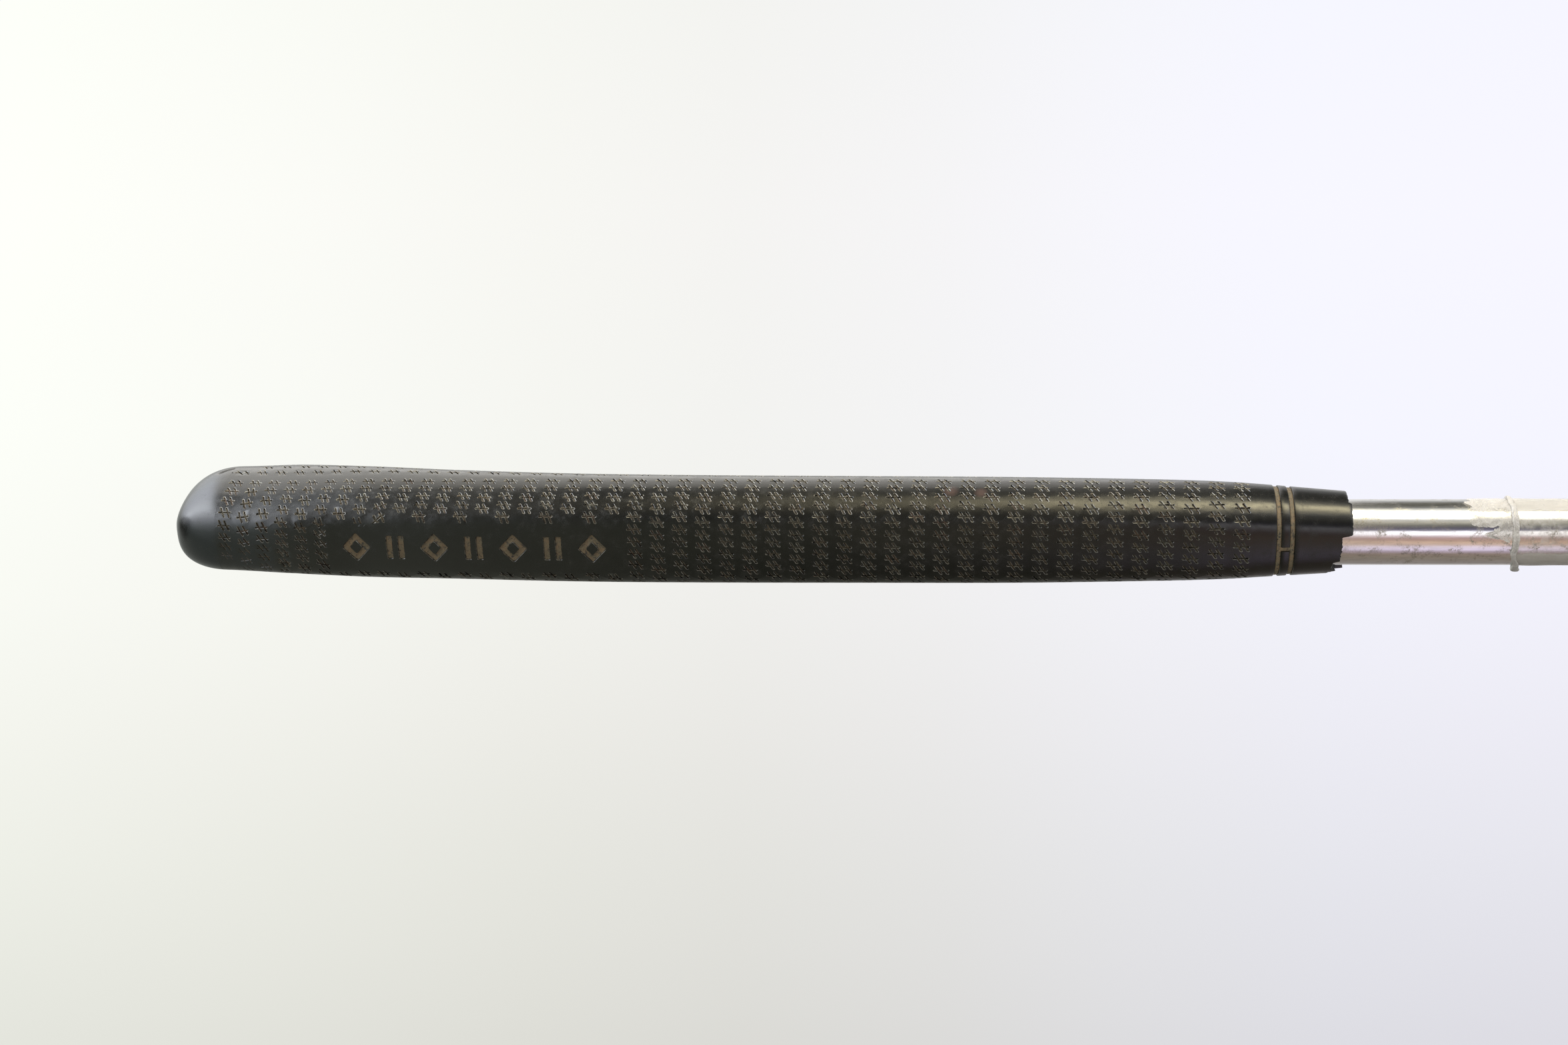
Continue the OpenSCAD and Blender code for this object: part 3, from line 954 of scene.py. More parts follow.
def chrome(name):
    """Bright steel with fine lines along it and freckles of rust."""
    material = bpy.data.materials.new(name)
    g = Graph(material)
    mm = g.coords()
    haze = g.noise(mm, scale=0.30, detail=6, rough=0.68, distortion=0.4)
    pits = g.noise(mm, scale=2.4, detail=4, rough=0.7)
    lines = g.noise(g.coords((0.12, 1, 1)), scale=1.4, detail=3, rough=0.55)
    rust = g.mul(g.ramp(haze, (0.52, 0.0), (0.66, 1.0)), g.ramp(pits, (0.40, 0.0), (0.60, 1.0)))
    colour = g.mix(g.ramp(lines, (0.35, 0.0), (0.70, 1.0)), (0.84, 0.84, 0.83), (0.70, 0.70, 0.69))
    texture = g.bump(g.add(g.mul(pits, 0.7), haze), strength=0.10, mm=0.05)
    g.finish(g.principled({
        "Metallic": 1.0,
        "Base Color": g.mix(g.mul(rust, 0.72), colour, (0.235, 0.205, 0.125)),
        "Roughness": g.add(g.mul(rust, 0.30), g.mul(haze, 0.10), 0.045),
        "Normal": g.bump(lines, strength=0.12, mm=0.05, normal=texture)}))
    return material


def tape_paper(name):
    """Creased tan paper, banded along X."""
    material = bpy.data.materials.new(name)
    g = Graph(material)
    mm = g.coords()
    bands = g.node("ShaderNodeTexWave", {0: mm, "Scale": 1.6, "Distortion": 1.4},
                   wave_type="BANDS", bands_direction="X").outputs[1]
    colour = g.mix(bands, (0.52, 0.46, 0.33), (0.40, 0.34, 0.23))
    stain = g.ramp(g.noise(mm, scale=0.4, detail=5, rough=0.55), (0.45, 0.0), (0.7, 0.6))
    g.finish(g.principled({
        "Base Color": g.mix(stain, colour, (0.22, 0.17, 0.10)),
        "Roughness": 0.78,
        "Normal": g.bump(bands, strength=0.4, mm=0.04)}))
    return material


def clear_film(name, cloud):
    """Scuffed clear film; cloud adds to how white it is."""
    material = bpy.data.materials.new(name)
    g = Graph(material)
    mm = g.coords()
    broad = g.noise(mm, scale=0.42, detail=6, rough=0.7, distortion=0.8)
    fine = g.noise(mm, scale=2.2, detail=4, rough=0.65)
    clear = g.node("ShaderNodeBsdfTransparent", {0: (0.97, 0.965, 0.95)}).outputs[0]
    white = g.principled({
        "Base Color": (0.94, 0.905, 0.865),
        "Roughness": g.ramp(fine, (0.3, 0.10), (0.7, 0.34)),
        "Specular IOR Level": 0.55,
        "Normal": g.bump(g.add(broad, g.mul(fine, 0.4)), strength=0.30, mm=0.12)})
    glance = g.node("ShaderNodeFresnel", {"IOR": 1.45}).outputs[0]
    scuff = g.ramp(broad, (0.46, 0.02 + cloud * 0.55), (0.60, 0.14 + cloud), (0.72, 0.38 + cloud))
    g.finish(g.mix_shader(g.math("ADD", g.mul(glance, 0.55), scuff, clamp=True), clear, white))
    return material


SLEEVE_RUBBER = rubber("sleeve_rubber", smudges=(((-161.1, -2.4, 11.4), 1.05),
                                                 ((-154.2, -2.9, 11.2), 0.8)))
# painted highlight: the rims' cream is worn paint that also stands in for the glints on the rims'
# rounded edges; on rims and walls alike the paint is thicker on the upper flank as painted top light
SLEEVE_RIM_PAINT_AND_GLINT = rubber("sleeve_rim_paint_and_glint", roughness=0.04, worn_paint_and_light=0.62)
SLEEVE_WALL = rubber("sleeve_wall", worn_paint_and_light=0.40)
CAP_RUBBER = rubber("cap_rubber", roughness=0.05)
PATTERN_PAINT = paint("pattern_paint")
EMBLEM_PAINT = paint("emblem_paint", tone=(0.150, 0.122, 0.070))
RING_PAINT = paint("ring_paint", tone=(0.20, 0.165, 0.098))
CHROME = chrome("shaft_chrome")
TAPE_PAPER = tape_paper("tape_paper")
FILM_CLEAR = clear_film("film_clear", cloud=0.0)
FILM_TORN = clear_film("film_torn", cloud=0.26)
FILM_CURL = clear_film("film_curl", cloud=0.42)


# ---------------------------------------------------------------- sleeve and its paint
def build_sleeve():
    """The sleeve, the paint in its marks and the paint in its emblem."""
    bag, fills = Bag(), Bag()
    tints = add_cells(bag, fills)
    figures = emblem_figures()
    add_emblem_sheet(bag, figures)
    add_plain_ends(bag)
    add_ridge(bag)
    add_mouth(bag)

    sleeve = put("sleeve", *bag.weld(), [SLEEVE_RUBBER, SLEEVE_RIM_PAINT_AND_GLINT, SLEEVE_WALL], sharp=25,
                 slots=bag.slots)
    dress(sleeve, "sleeve", "grip_sleeve")

    pattern = put("pattern_fill", np.concatenate(fills.points), fills.faces, [PATTERN_PAINT],
                  sharp=60)
    attribute = pattern.data.color_attributes.new("tint", "FLOAT_COLOR", "POINT")
    attribute.data.foreach_set("color", np.array(tints, float).reshape(-1))
    dress(pattern, "emblem")

    emblem = put("emblem_fill", *emblem_inlay(figures).weld(), [EMBLEM_PAINT], sharp=50)
    dress(emblem, "emblem", "emblem_paint")
    return sleeve, pattern, emblem


# offset from the ring's middle, and depth, of the ring paint's slightly domed section
RING_FILL = ((-0.50, 0.46), (-0.49, 0.36), (-0.36, 0.30), (-0.12, 0.275),
             (0.12, 0.275), (0.36, 0.30), (0.49, 0.36), (0.50, 0.46))


def build_ring_fill():
    bag = Bag()
    count = len(BELT_ARCS)
    for ring in RINGS:
        wobble = 0.02 * np.sin(np.linspace(0, 40, count)) + rng.normal(0, 0.006, count)
        wobble[-1] = wobble[0]
        rows = [(ring + x, depth + wobble * (0 < k < len(RING_FILL) - 1))
                for k, (x, depth) in enumerate(RING_FILL)]
        add_belts(bag, BELT_ARCS, rows)
    ob = put("ring_fill", *bag.weld(), [RING_PAINT], sharp=50)
    dress(ob, "ring", "ring_paint")
    return ob


def build_link_fill():
    """Paint in the short channel between the rings, lower at its sides."""
    bag = Bag()
    arcs = np.linspace(-0.455, 0.455, 9)
    sag = 0.05 * np.abs(arcs / 0.45)**3
    first, second = RINGS
    profile = ((first + 0.47, 0.36), (first + 0.62, 0.30), (first + 1.0, 0.285),
               ((first + second) / 2, 0.28),
               (second - 1.0, 0.285), (second - 0.62, 0.30), (second - 0.47, 0.36))
    add_belts(bag, arcs, [(v, depth + sag) for v, depth in profile])
    ob = put("ring_link_fill", *bag.weld(), [RING_PAINT], sharp=50)
    dress(ob, "ring_link", "ring_link_paint")
    return ob


# ---------------------------------------------------------------- butt cap
CAP_COUNT = 192
# the nick: stations and section angles of its ends, angular width, depth
NICK_STATIONS, NICK_ANGLES = (8.3, 11.8), (1.76, 1.98)
NICK_WIDTH, NICK_DEPTH = 0.030, 0.45


def nicked(ring, station, angles):
    start, end = NICK_STATIONS
    t = np.clip((station - start) / (end - start), 0, 1)
    middle = NICK_ANGLES[0] + (NICK_ANGLES[1] - NICK_ANGLES[0]) * t
    depth = (NICK_DEPTH * np.exp(-((angles - middle) / NICK_WIDTH)**2)
             * smooth((station - start) / 0.8 + 0.5) * smooth((end - station) / 0.8 + 0.5))
    out = ring - ring.mean(0)
    out /= np.linalg.norm(out, axis=1, keepdims=True)
    return ring - out * depth[:, None]


def build_cap():
    """Domed cap with a small nick near the seam, and a hollow spigot inside the sleeve."""
    angles = np.linspace(-math.pi, math.pi, CAP_COUNT, endpoint=False)
    parts = np.concatenate([[0.0002, 0.0008], np.linspace(0.03, 1, 52)**2.0])
    rings = []
    for k, part in enumerate(parts):
        station = CAP_LEN * part
        f, w = section(station, angles)
        ring = np.stack([np.full(CAP_COUNT, X0 + station), -f, w], 1)
        rings.append(ring if k < 2 else nicked(ring, station, angles))
    around = np.arctan2(w, -f)
    for station, radius in ((CAP_LEN, SPIGOT_R - 0.1), (17.3, SPIGOT_R - 0.1),
                            (17.6, SPIGOT_R - 0.4), (17.6, 1.2), (6.0, 1.2), (0.55, 1.2)):
        rings.append(polar(X0 + station, radius, around))
    bag = Bag()
    bag.add(np.array(rings), grid_faces(len(rings), CAP_COUNT, wrap=True))
    tip = rings[0].mean(0)
    bag.add(np.vstack([rings[0], [tip]]),
            [[i, CAP_COUNT, (i + 1) % CAP_COUNT] for i in range(CAP_COUNT)])
    ob = put("butt_cap", *bag.weld(), [CAP_RUBBER], sharp=45)
    dress(ob, "cap", "end_cap")
    return ob


# ---------------------------------------------------------------- shaft
def build_shaft():
    """Steel tube with a stepped-down end; the profile runs out along the outside and back inside."""
    end, tip_r, wall = SHAFT_END, 7.1755, 0.46
    profile = [(18.0, SHAFT_R - 0.1), (18.06, SHAFT_R - 0.03), (18.2, SHAFT_R)]
    profile += [(v, SHAFT_R) for v in np.linspace(30, end - 20.4, 24)]
    profile += [
        (end - 20.2, SHAFT_R - 0.01), (end - 20.0, SHAFT_R - 0.07), (end - 19.75, tip_r + 0.05),
        (end - 19.4, tip_r), (end - 10, tip_r), (end - 0.25, tip_r), (end - 0.08, tip_r - 0.04),
        (end, tip_r - 0.14), (end, tip_r - wall + 0.1), (end - 0.12, tip_r - wall),
        (end - 21.4, tip_r - wall), (end - 21.6, SHAFT_R - wall), (120, SHAFT_R - wall),
        (18.0, SHAFT_R - wall)]
    count = 192
    angles = np.linspace(0, 2 * math.pi, count, endpoint=False)
    points = np.concatenate([polar(X0 + v, radius, angles) for v, radius in profile])
    faces = grid_faces(len(profile), count, wrap=True, closed=True)
    ob = put("shaft_steel", points, faces, [CHROME], sharp=30)
    dress(ob, "shaft", "shaft_tube")
    return ob


# ---------------------------------------------------------------- clear film on the bare shaft
# Film angles run from +Z towards +Y.
FILM_GAP = 0.05                   # least gap between shaft and film
SHEET_END = GRIP_LEN + 51.0
FILM_ANGLES = np.linspace(-math.pi, math.pi, 220, endpoint=False)


def wrapped(station, radius, angle):
    y, z = radius * np.sin(angle), radius * np.cos(angle)
    return np.stack(np.broadcast_arrays(X0 + station, y, z), -1)


def wander(angle, seed, size):
    """A smooth random wave."""
    draws = np.random.default_rng(seed)
    out = np.zeros_like(angle)
    for k in range(1, 14):
        out += draws.normal() / k**0.8 * np.cos(k * angle + draws.uniform(0, 6.28))
    return out * size


# station of the torn edge, swept away from the mouth at the underside
TEAR = GRIP_LEN + 35.6 + wander(FILM_ANGLES, 5, 0.30)
for underside in (math.pi, -math.pi):
    TEAR = TEAR + 1.5 * np.exp(-((FILM_ANGLES - underside) / 0.8)**2)


def double_skin(stations, radii, angles, thickness):
    """Points and faces of a film with both its faces, closed round the shaft."""
    outer = wrapped(stations, radii, angles)
    inner = wrapped(stations, radii - thickness, angles)
    loop = np.concatenate([outer, inner[::-1], outer[:1]])
    bag = Bag()
    bag.add(loop, grid_faces(len(loop), loop.shape[1], wrap=True))
    return bag.weld()


def build_film_sheet():
    s = np.linspace(0, 1, 110)[:, None]
    stations = TEAR[None, :] * (1 - s) + SHEET_END * s
    angles = np.broadcast_to(FILM_ANGLES, stations.shape)
    wrinkles = np.zeros_like(stations)
    draws = np.random.default_rng(11)
    for _ in range(14):
        around, along = draws.integers(1, 9), draws.uniform(-0.9, 0.9)
        wrinkles += (draws.normal()
                     * np.cos(around * angles + along * (stations - GRIP_LEN)
                              + draws.uniform(0, 6.28)) / (1 + 0.25 * around))
    wrinkles = 0.5 + 0.5 * np.tanh(wrinkles * 0.8)
    near_tear = np.exp(-((stations - TEAR) / 5.0)**2)
    lift = 0.02 + 0.16 * wrinkles * (0.35 + 0.65 * near_tear)
    film = double_skin(stations, SHAFT_R + FILM_GAP + lift, angles, thickness=0.04)
    ob = put("film_sheet", *film, [FILM_CLEAR], sharp=60)
    dress(ob, "film", "shaft_film")
    return ob


def add_flap(bag, angle0, angle1, start, end, seed):
    """One ragged patch between two angles; start and end are distances beyond the mouth."""
    n = 60
    middle = (angle0 + angle1) / 2
    base = np.linspace(angle0, angle1, n)
    torn = (GRIP_LEN + start + wander(base * 4.0, seed, 0.75)
            + 3.2 * ((base - middle) / (angle1 - angle0) * 2)**2)
    s = np.linspace(0, 1, n)
    stations = torn[None, :] * (1 - s[:, None]) + (GRIP_LEN + end) * s[:, None]
    ragged = wander(s * 7.0, seed + 20, 0.05)[:, None] * np.sign(base - middle)[None, :]
    angles = base[None, :] + ragged * 0.9
    draws = np.random.default_rng(seed + 40)
    wrinkles = np.zeros_like(stations)
    for _ in range(16):
        wrinkles += draws.normal() * np.cos(
            draws.uniform(2, 14) * angles + draws.uniform(-1.6, 1.6) * (stations - GRIP_LEN)
            + draws.uniform(0, 6.28)) * 0.4
    radii = SHAFT_R + FILM_GAP + 0.22 * (0.5 + 0.5 * np.tanh(wrinkles))
    outer = wrapped(stations, radii, angles)
    inner = wrapped(stations, radii - 0.035, angles)
    under = n * n                 # index of the inner face's first point
    faces = grid_faces(n, n)
    faces += [[k + under for k in f[::-1]] for f in faces]
    edge = list(range(n)) + [j * n + n - 1 for j in range(1, n)]
    edge += [(n - 1) * n + k for k in range(n - 2, -1, -1)] + [j * n for j in range(n - 2, 0, -1)]
    for a, b in zip(edge, edge[1:] + edge[:1]):
        faces.append([b, a, a + under, b + under])
    bag.add(np.concatenate([outer, inner]), faces)


def build_film_flap():
    """Ragged film left on the upper side, on the mouth's side of the tear."""
    bag = Bag()
    add_flap(bag, angle0=-0.95, angle1=0.30, start=24.6, end=36.2, seed=3)
    add_flap(bag, angle0=-1.35, angle1=-0.80, start=29.5, end=36.2, seed=8)
    ob = put("film_flap", *bag.weld(), [FILM_TORN], sharp=60)
    dress(ob, "film")
    return ob


def build_film_curl():
    """The curled torn edge: a loose spiral, thicker where it has bunched up below."""
    turns, steps = 1.35, 26
    angles = np.linspace(-math.pi, math.pi, 260, endpoint=False)
    tear = np.interp(angles, FILM_ANGLES, TEAR, period=2 * math.pi)
    broad = 2.3 + 0.9 * np.tanh(wander(angles, 14, 0.6))
    from_bunch = (angles - 0.4525) % (2 * math.pi) - math.pi
    fat = 0.22 + 0.16 * (0.5 + 0.5 * np.tanh(wander(angles, 9, 1.1)))
    fat = fat + 0.40 * np.exp(-(from_bunch / 0.26)**2)
    sag = 0.22 * np.exp(-(from_bunch / 0.30)**2)
    stations, radii = [], []
    for k in range(steps):
        part = k / (steps - 1)
        turn = part * 2 * math.pi * turns
        ripple = 1 + 0.10 * np.cos(7 * angles + 3 * turn) + 0.08 * np.sin(19 * angles + turn)
        size = fat * (1 - 0.33 * part) * ripple
        stations.append(tear - 0.25 + size * np.sin(turn) * broad)
        radii.append(SHAFT_R + 0.14 + fat - size * np.cos(turn) + sag)
    curl = double_skin(np.array(stations), np.array(radii), angles, thickness=0.03)
    ob = put("film_curl", *curl, [FILM_CURL], sharp=60)
    dress(ob, "film_edge", "film_roll")
    return ob


sleeve, pattern, emblem = build_sleeve()
ring_fill = build_ring_fill()
link_fill = build_link_fill()
cap = build_cap()
shaft = build_shaft()
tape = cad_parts["grip_tape"]
tape.data.materials.clear()
tape.data.materials.append(TAPE_PAPER)
film_sheet = build_film_sheet()
film_flap = build_film_flap()
film_curl = build_film_curl()

# Every mesh is written back through bmesh; the closed shells are also turned to face outwards.
CLOSED_SHELLS = (shaft, film_sheet, film_flap, film_curl, cap)
for ob in (sleeve, ring_fill, link_fill, emblem, pattern, *CLOSED_SHELLS):
    bm = bmesh.new()
    bm.from_mesh(ob.data)
    if ob in CLOSED_SHELLS:
        bmesh.ops.recalc_face_normals(bm, faces=bm.faces)
    bm.to_mesh(ob.data)
    bm.free()

# ---------------------------------------------------------------- camera
CAMERA_TILT = math.radians(26.0)  # above the horizontal
CAMERA_YAW = math.radians(4.0)    # towards the shaft's end
CAMERA_STATION = 141.1776         # station aimed at
CAMERA_RAISE = 2.128              # the aim's shift up the picture, mm
CAMERA_DISTANCE = 592.8           # mm


def build_camera():
    level = Vector((0, -math.cos(CAMERA_TILT), math.sin(CAMERA_TILT)))
    back = (level * math.cos(CAMERA_YAW) + Vector((1, 0, 0)) * math.sin(CAMERA_YAW)).normalized()
    right = Vector((0, math.sin(CAMERA_TILT), math.cos(CAMERA_TILT))).cross(back).normalized()
    up = back.cross(right).normalized()
    target = Vector((X0 + CAMERA_STATION, 0, 0)) + up * CAMERA_RAISE
    data = bpy.data.cameras.new("camera")
    data.sensor_width = 36.0
    data.lens = 59.66851
    data.clip_start, data.clip_end = 0.02, 60
    camera = bpy.data.objects.new("camera", data)
    bpy.context.scene.collection.objects.link(camera)
    bpy.context.scene.camera = camera
    camera.location = (target + back * CAMERA_DISTANCE) / 1000.0
    camera.rotation_mode = "QUATERNION"
    camera.rotation_quaternion = Matrix((right, up, back)).transposed().to_quaternion()


# ---------------------------------------------------------------- floor
FLOOR_Z = -0.075
FLOOR_HALF = 25


def floor_material():
    """Pale glow graded over the view, see-through from below."""
    material = bpy.data.materials.new("floor_pale")
    g = Graph(material)
    view = g.separate(g.node("ShaderNodeTexCoord").outputs["Window"])
    upwards = g.ramp(
        view[1], (0.008, (0.695, 0.690, 0.655)), (0.171, (0.765, 0.762, 0.725)),
        (0.298, (0.812, 0.805, 0.775)), (0.426, (0.855, 0.850, 0.825)),
        (0.585, (0.885, 0.885, 0.862)), (0.80, (0.905, 0.898, 0.880)),
        (1.0, (0.895, 0.895, 0.870)))
    sideways = g.ramp(
        view[0], (0.0, (1.09, 1.11, 1.075)), (0.085, (1.075, 1.09, 1.06)),
        (0.21, (1.05, 1.06, 1.035)), (0.34, (1.015, 1.02, 1.0)), (0.47, (0.99, 0.99, 0.99)),
        (0.60, (0.995, 0.995, 1.03)), (0.72, (1.012, 1.015, 1.10)), (0.85, (1.015, 1.02, 1.15)),
        (1.0, (1.015, 1.015, 1.155)))
    glow = g.node("ShaderNodeEmission", {
        "Color": g.mix(1.0, upwards, sideways, blend="MULTIPLY"), "Strength": 0.975}).outputs[0]
    matt = g.node("ShaderNodeBsdfDiffuse", {"Color": (0.03, 0.03, 0.03)}).outputs[0]
    top = g.node("ShaderNodeAddShader", {0: glow, 1: matt}).outputs[0]
    below = g.node("ShaderNodeNewGeometry").outputs["Backfacing"]
    g.finish(g.mix_shader(below, top, g.node("ShaderNodeBsdfTransparent").outputs[0]))
    return material


def build_floor():
    mesh = bpy.data.meshes.new("floor")
    corners = [(x * FLOOR_HALF, y * FLOOR_HALF, FLOOR_Z)
               for x, y in ((-1, -1), (1, -1), (1, 1), (-1, 1))]
    mesh.from_pydata(corners, [], [(0, 1, 2, 3)])
    floor = bpy.data.objects.new("floor", mesh)
    bpy.context.scene.collection.objects.link(floor)
    mesh.materials.append(floor_material())
    floor.visible_glossy = False
    floor.visible_diffuse = False
    floor.visible_transmission = False


# ---------------------------------------------------------------- surroundings
# What the shiny parts see, by angle about the grip's axis: (degrees, red, green, blue).
# 0 is towards the viewer (-Y), +90 is up, 180 is behind.
# beside the shaft: what the chrome shows
RIGHT = [
    (-180, 0.90, 0.89, 0.88), (-150, 0.72, 0.70, 0.69), (-115, 0.28, 0.25, 0.24),
    (-74, 0.265, 0.222, 0.180), (-58, 0.32, 0.25, 0.215), (-47, 0.50, 0.40, 0.48),
    (-37, 0.92, 0.80, 1.02), (-27, 0.90, 0.77, 0.88), (-19, 0.72, 0.54, 0.47),
    (-11, 0.74, 0.52, 0.40), (-3, 0.53, 0.35, 0.29), (6, 0.56, 0.38, 0.37),
    (13, 0.85, 0.72, 0.76), (20, 1.55, 1.50, 1.58), (27, 1.6, 1.55, 1.65),
    (32, 0.25, 0.24, 0.33), (39, 0.12, 0.11, 0.155), (50, 0.20, 0.195, 0.17),
    (60, 0.55, 0.52, 0.44), (68, 0.66, 0.64, 0.60), (73, 1.5, 1.48, 1.40), (77, 3.0, 2.8, 2.2),
    (86, 7.0, 6.2, 4.3), (92, 14.0, 12.4, 8.0), (97, 14.5, 12.9, 8.4), (101, 5.0, 4.6, 3.4),
    (105, 1.2, 1.18, 1.1), (120, 0.26, 0.26, 0.24), (134, 0.125, 0.122, 0.10),
    (148, 0.17, 0.165, 0.14), (160, 0.45, 0.45, 0.44), (180, 0.9, 0.9, 0.88),
]
# along the sleeve
MIDDLE = [
    (-180, 0.80, 0.80, 0.78), (-150, 0.30, 0.30, 0.28), (-128, 0.16, 0.16, 0.14),
    (-84, 0.20, 0.20, 0.16), (-55, 0.12, 0.12, 0.085), (-38, 0.11, 0.115, 0.075),
    (-20, 0.20, 0.20, 0.135), (0, 0.22, 0.225, 0.155), (20, 0.11, 0.11, 0.075),
    (36, 0.08, 0.08, 0.055), (52, 0.14, 0.13, 0.09), (68, 0.27, 0.245, 0.17),
    (88, 0.22, 0.20, 0.14), (100, 0.31, 0.28, 0.21), (113, 0.30, 0.29, 0.24),
    (127, 0.26, 0.25, 0.22), (134, 1.2, 1.16, 1.04), (142, 1.85, 1.78, 1.64),
    (156, 1.8, 1.75, 1.64), (180, 2.0, 1.96, 1.88),
]
# towards the butt there is a little more light from below
MIDDLE_BUTT = [
    (-180, 0.80, 0.80, 0.78), (-140, 0.40, 0.40, 0.38), (-100, 0.42, 0.43, 0.36),
    (-60, 0.52, 0.53, 0.43), (-36, 0.52, 0.53, 0.42), (-8, 0.42, 0.44, 0.35),
    (14, 0.36, 0.37, 0.30), (40, 0.30, 0.30, 0.24),
] + [stop for stop in MIDDLE if stop[0] > 60]
# warm overhead strip over the mouth end
STRIP = [
    (-180, 0.9, 0.9, 0.92), (-140, 0.5, 0.5, 0.5), (-100, 0.22, 0.19, 0.16),
    (-55, 0.18, 0.15, 0.11), (-30, 0.36, 0.31, 0.27), (-8, 0.46, 0.39, 0.33),
    (25, 0.58, 0.49, 0.42), (51, 0.56, 0.48, 0.38), (70, 0.75, 0.65, 0.46), (80, 1.7, 1.5, 1.0),
    (90, 6.0, 5.3, 3.5), (98, 11.0, 9.8, 6.5), (105, 7.0, 6.3, 4.3), (111, 1.8, 1.65, 1.25),
    (120, 0.65, 0.60, 0.50), (133, 0.60, 0.57, 0.52), (152, 1.2, 1.14, 1.1),
    (180, 1.3, 1.28, 1.3),
]
# beyond the butt: a pale blue window light
LEFT = [
    (-180, 0.9, 0.93, 0.9), (-130, 0.55, 0.58, 0.54), (-97, 0.6, 0.63, 0.58),
    (-66, 0.50, 0.54, 0.50), (-44, 0.46, 0.52, 0.48), (-32, 0.45, 0.52, 0.48),
    (-22, 0.52, 0.60, 0.58), (-8, 0.95, 1.08, 1.08), (22, 2.5, 2.7, 2.9), (50, 4.0, 4.2, 4.6),
    (81, 6.0, 6.3, 6.8), (103, 7.6, 7.95, 8.6), (115, 7.2, 7.6, 8.1), (125, 5.9, 6.15, 6.6),
    (135, 4.6, 4.8, 5.2), (145, 3.6, 3.75, 4.1), (156, 2.7, 2.85, 3.05), (167, 1.9, 1.98, 2.05),
    (180, 1.5, 1.5, 1.5),
]
# well round to the far end of the shaft: an even, neutral studio
FAR = [
    (-180, 0.95, 0.95, 0.95), (-130, 0.60, 0.60, 0.60), (-90, 0.30, 0.30, 0.30),
    (-50, 0.22, 0.22, 0.22), (-30, 0.55, 0.55, 0.56), (-12, 0.75, 0.74, 0.73),
    (8, 0.55, 0.54, 0.53), (20, 1.3, 1.3, 1.32), (27, 1.4, 1.4, 1.42), (33, 0.22, 0.22, 0.24),
    (52, 0.18, 0.18, 0.19), (66, 0.7, 0.69, 0.67), (76, 2.4, 2.35, 2.25), (98, 3.2, 3.12, 2.95),
    (108, 1.6, 1.57, 1.5), (122, 0.45, 0.45, 0.44), (138, 0.20, 0.20, 0.20),
    (152, 0.6, 0.6, 0.6), (165, 1.3, 1.3, 1.3), (180, 0.95, 0.95, 0.95),
]


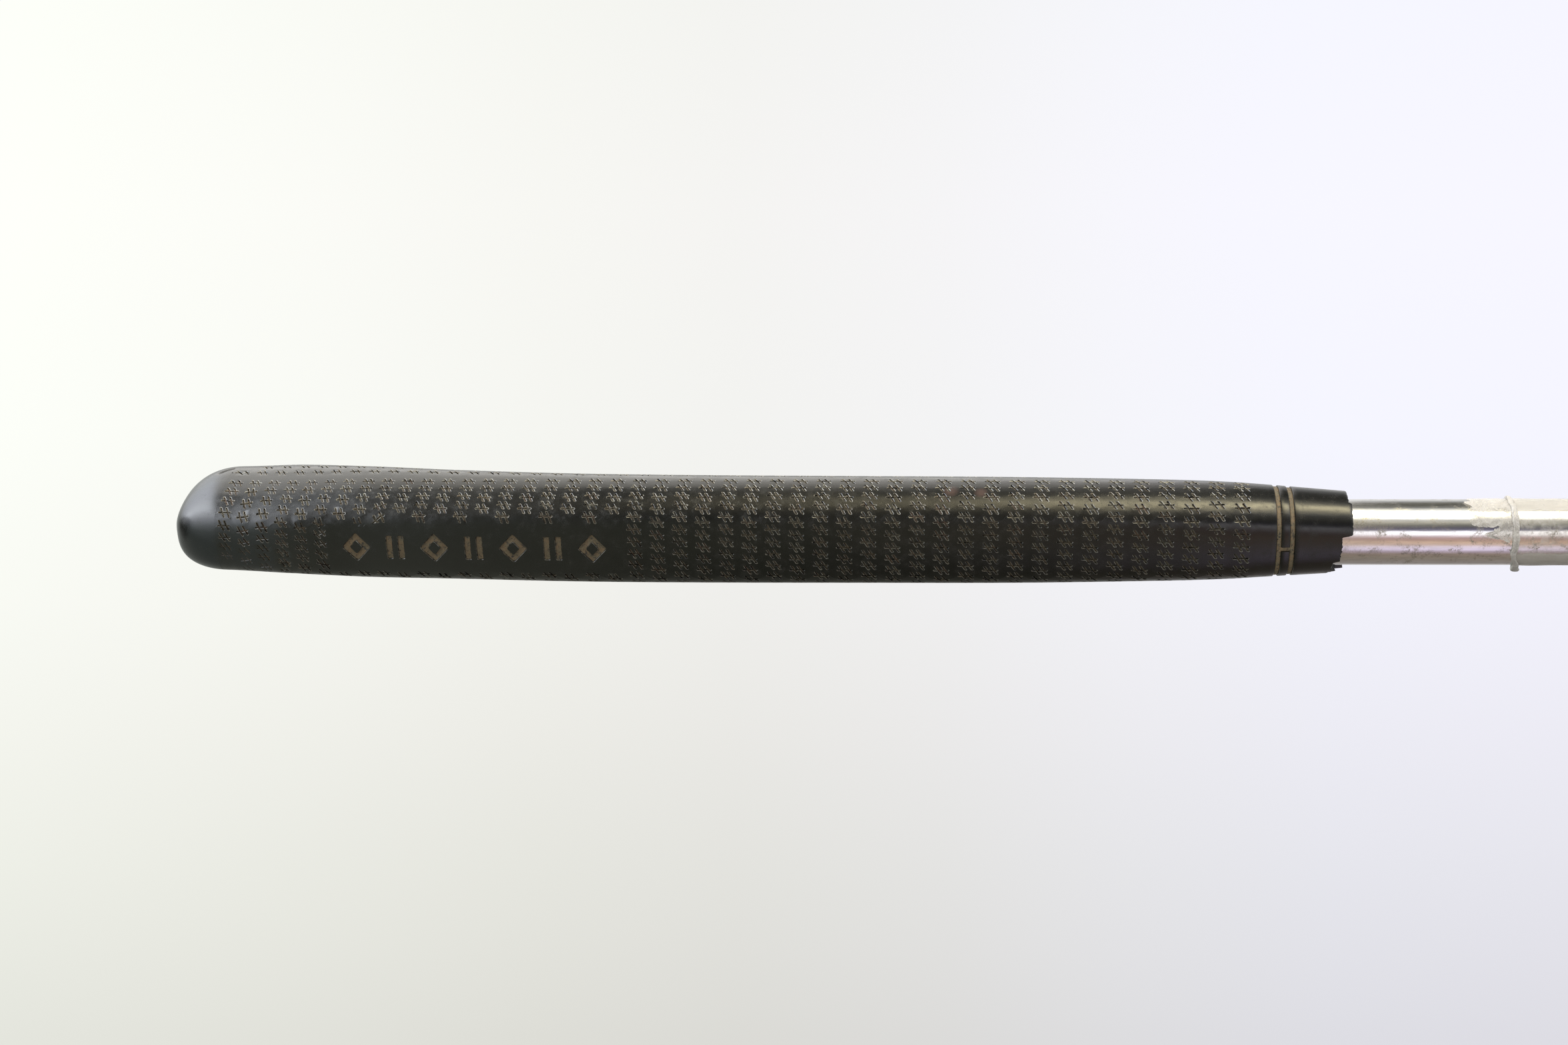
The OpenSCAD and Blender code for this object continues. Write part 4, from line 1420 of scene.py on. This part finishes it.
def build_world():
    world = bpy.data.worlds.new("studio")
    bpy.context.scene.world = world
    g = Graph(world, "ShaderNodeOutputWorld")
    direction = g.node("ShaderNodeTexCoord").outputs["Generated"]
    x, y, z = g.separate(direction)
    angle = g.math("ARCTAN2", z, g.mul(y, -1.0))
    wobble = g.noise(direction, scale=3.0, detail=2, rough=0.5)
    angle = g.add(angle, g.mul(g.math("SUBTRACT", wobble, 0.5), 0.10))
    turn = g.add(g.math("DIVIDE", angle, 2 * math.pi), 0.5)

    def surroundings(table):
        return g.ramp(turn, *[((degrees + 180.0) / 360.0, colour) for degrees, *colour in table])

    def step(value, start, end):
        return g.node("ShaderNodeMapRange", {0: value, 1: start, 2: end, 3: 0.0, 4: 1.0},
                      interpolation_type="SMOOTHSTEP").outputs[0]

    to_butt = g.mul(x, -1.0)
    left = surroundings(LEFT)
    seen = g.mix(step(to_butt, start=0.08, end=0.25), surroundings(MIDDLE),
                 surroundings(MIDDLE_BUTT))
    seen = g.mix(step(x, start=-0.01, end=0.105), seen, surroundings(STRIP))
    seen = g.mix(step(x, start=0.120, end=0.152), seen, surroundings(RIGHT))
    seen = g.mix(step(x, start=0.30, end=0.46), seen, surroundings(FAR))
    seen = g.mix(step(to_butt, start=0.33, end=0.43), seen, left)
    # straight along the axis past the butt it is dim
    dim = g.mix(1.0, left, (0.25, 0.25, 0.25), blend="MULTIPLY")
    seen = g.mix(step(to_butt, start=0.88, end=0.965), seen, dim)

    def background(colour):
        return g.node("ShaderNodeBackground", {"Color": colour, "Strength": 1.0}).outputs[0]

    height = g.add(g.mul(z, 0.5), 0.5)
    soft = g.ramp(height, (0.0, (0.15, 0.15, 0.145)), (0.40, (0.22, 0.22, 0.21)),
                  (0.60, (0.52, 0.52, 0.50)), (0.80, (1.15, 1.15, 1.12)), (1.0, (1.38, 1.38, 1.35)))
    ray = g.node("ShaderNodeLightPath").outputs
    lit = g.mix_shader(ray["Is Glossy Ray"], background(soft), background(seen))
    g.finish(g.mix_shader(ray["Is Camera Ray"], lit, background((0.90, 0.90, 0.885))))


# ---------------------------------------------------------------- lights
def area_light(name, place_at, aim, size, watts, colour):
    data = bpy.data.lights.new(name, "AREA")
    data.shape = "RECTANGLE"
    data.size, data.size_y = size
    data.energy = watts
    data.color = colour
    ob = bpy.data.objects.new(name, data)
    bpy.context.scene.collection.objects.link(ob)
    ob.location = place_at
    ob.rotation_mode = "QUATERNION"
    ob.rotation_quaternion = (Vector(aim) - Vector(place_at)).to_track_quat("-Z", "Y")
    ob.visible_glossy = False


build_camera()
build_floor()
build_world()
# soft key from above and behind, warm strip above the mouth end, low fill from the viewer's side
area_light("key", place_at=(-0.30, 0.35, 1.0), aim=(-0.2, 0, 0), size=(0.9, 0.5), watts=2.5,
           colour=(1.0, 0.985, 0.96))
area_light("warm", place_at=(-0.02, -0.06, 0.55), aim=(-0.10, 0, 0), size=(0.22, 0.045),
           watts=0.25, colour=(1.0, 0.90, 0.62))
area_light("fill", place_at=(-0.25, -1.1, 0.10), aim=(-0.2, 0, 0), size=(0.8, 0.5), watts=0.9,
           colour=(0.97, 0.98, 1.0))

view = bpy.context.scene.view_settings
view.view_transform = "Standard"
view.look = "None"
view.exposure = 0.0
view.gamma = 1.0
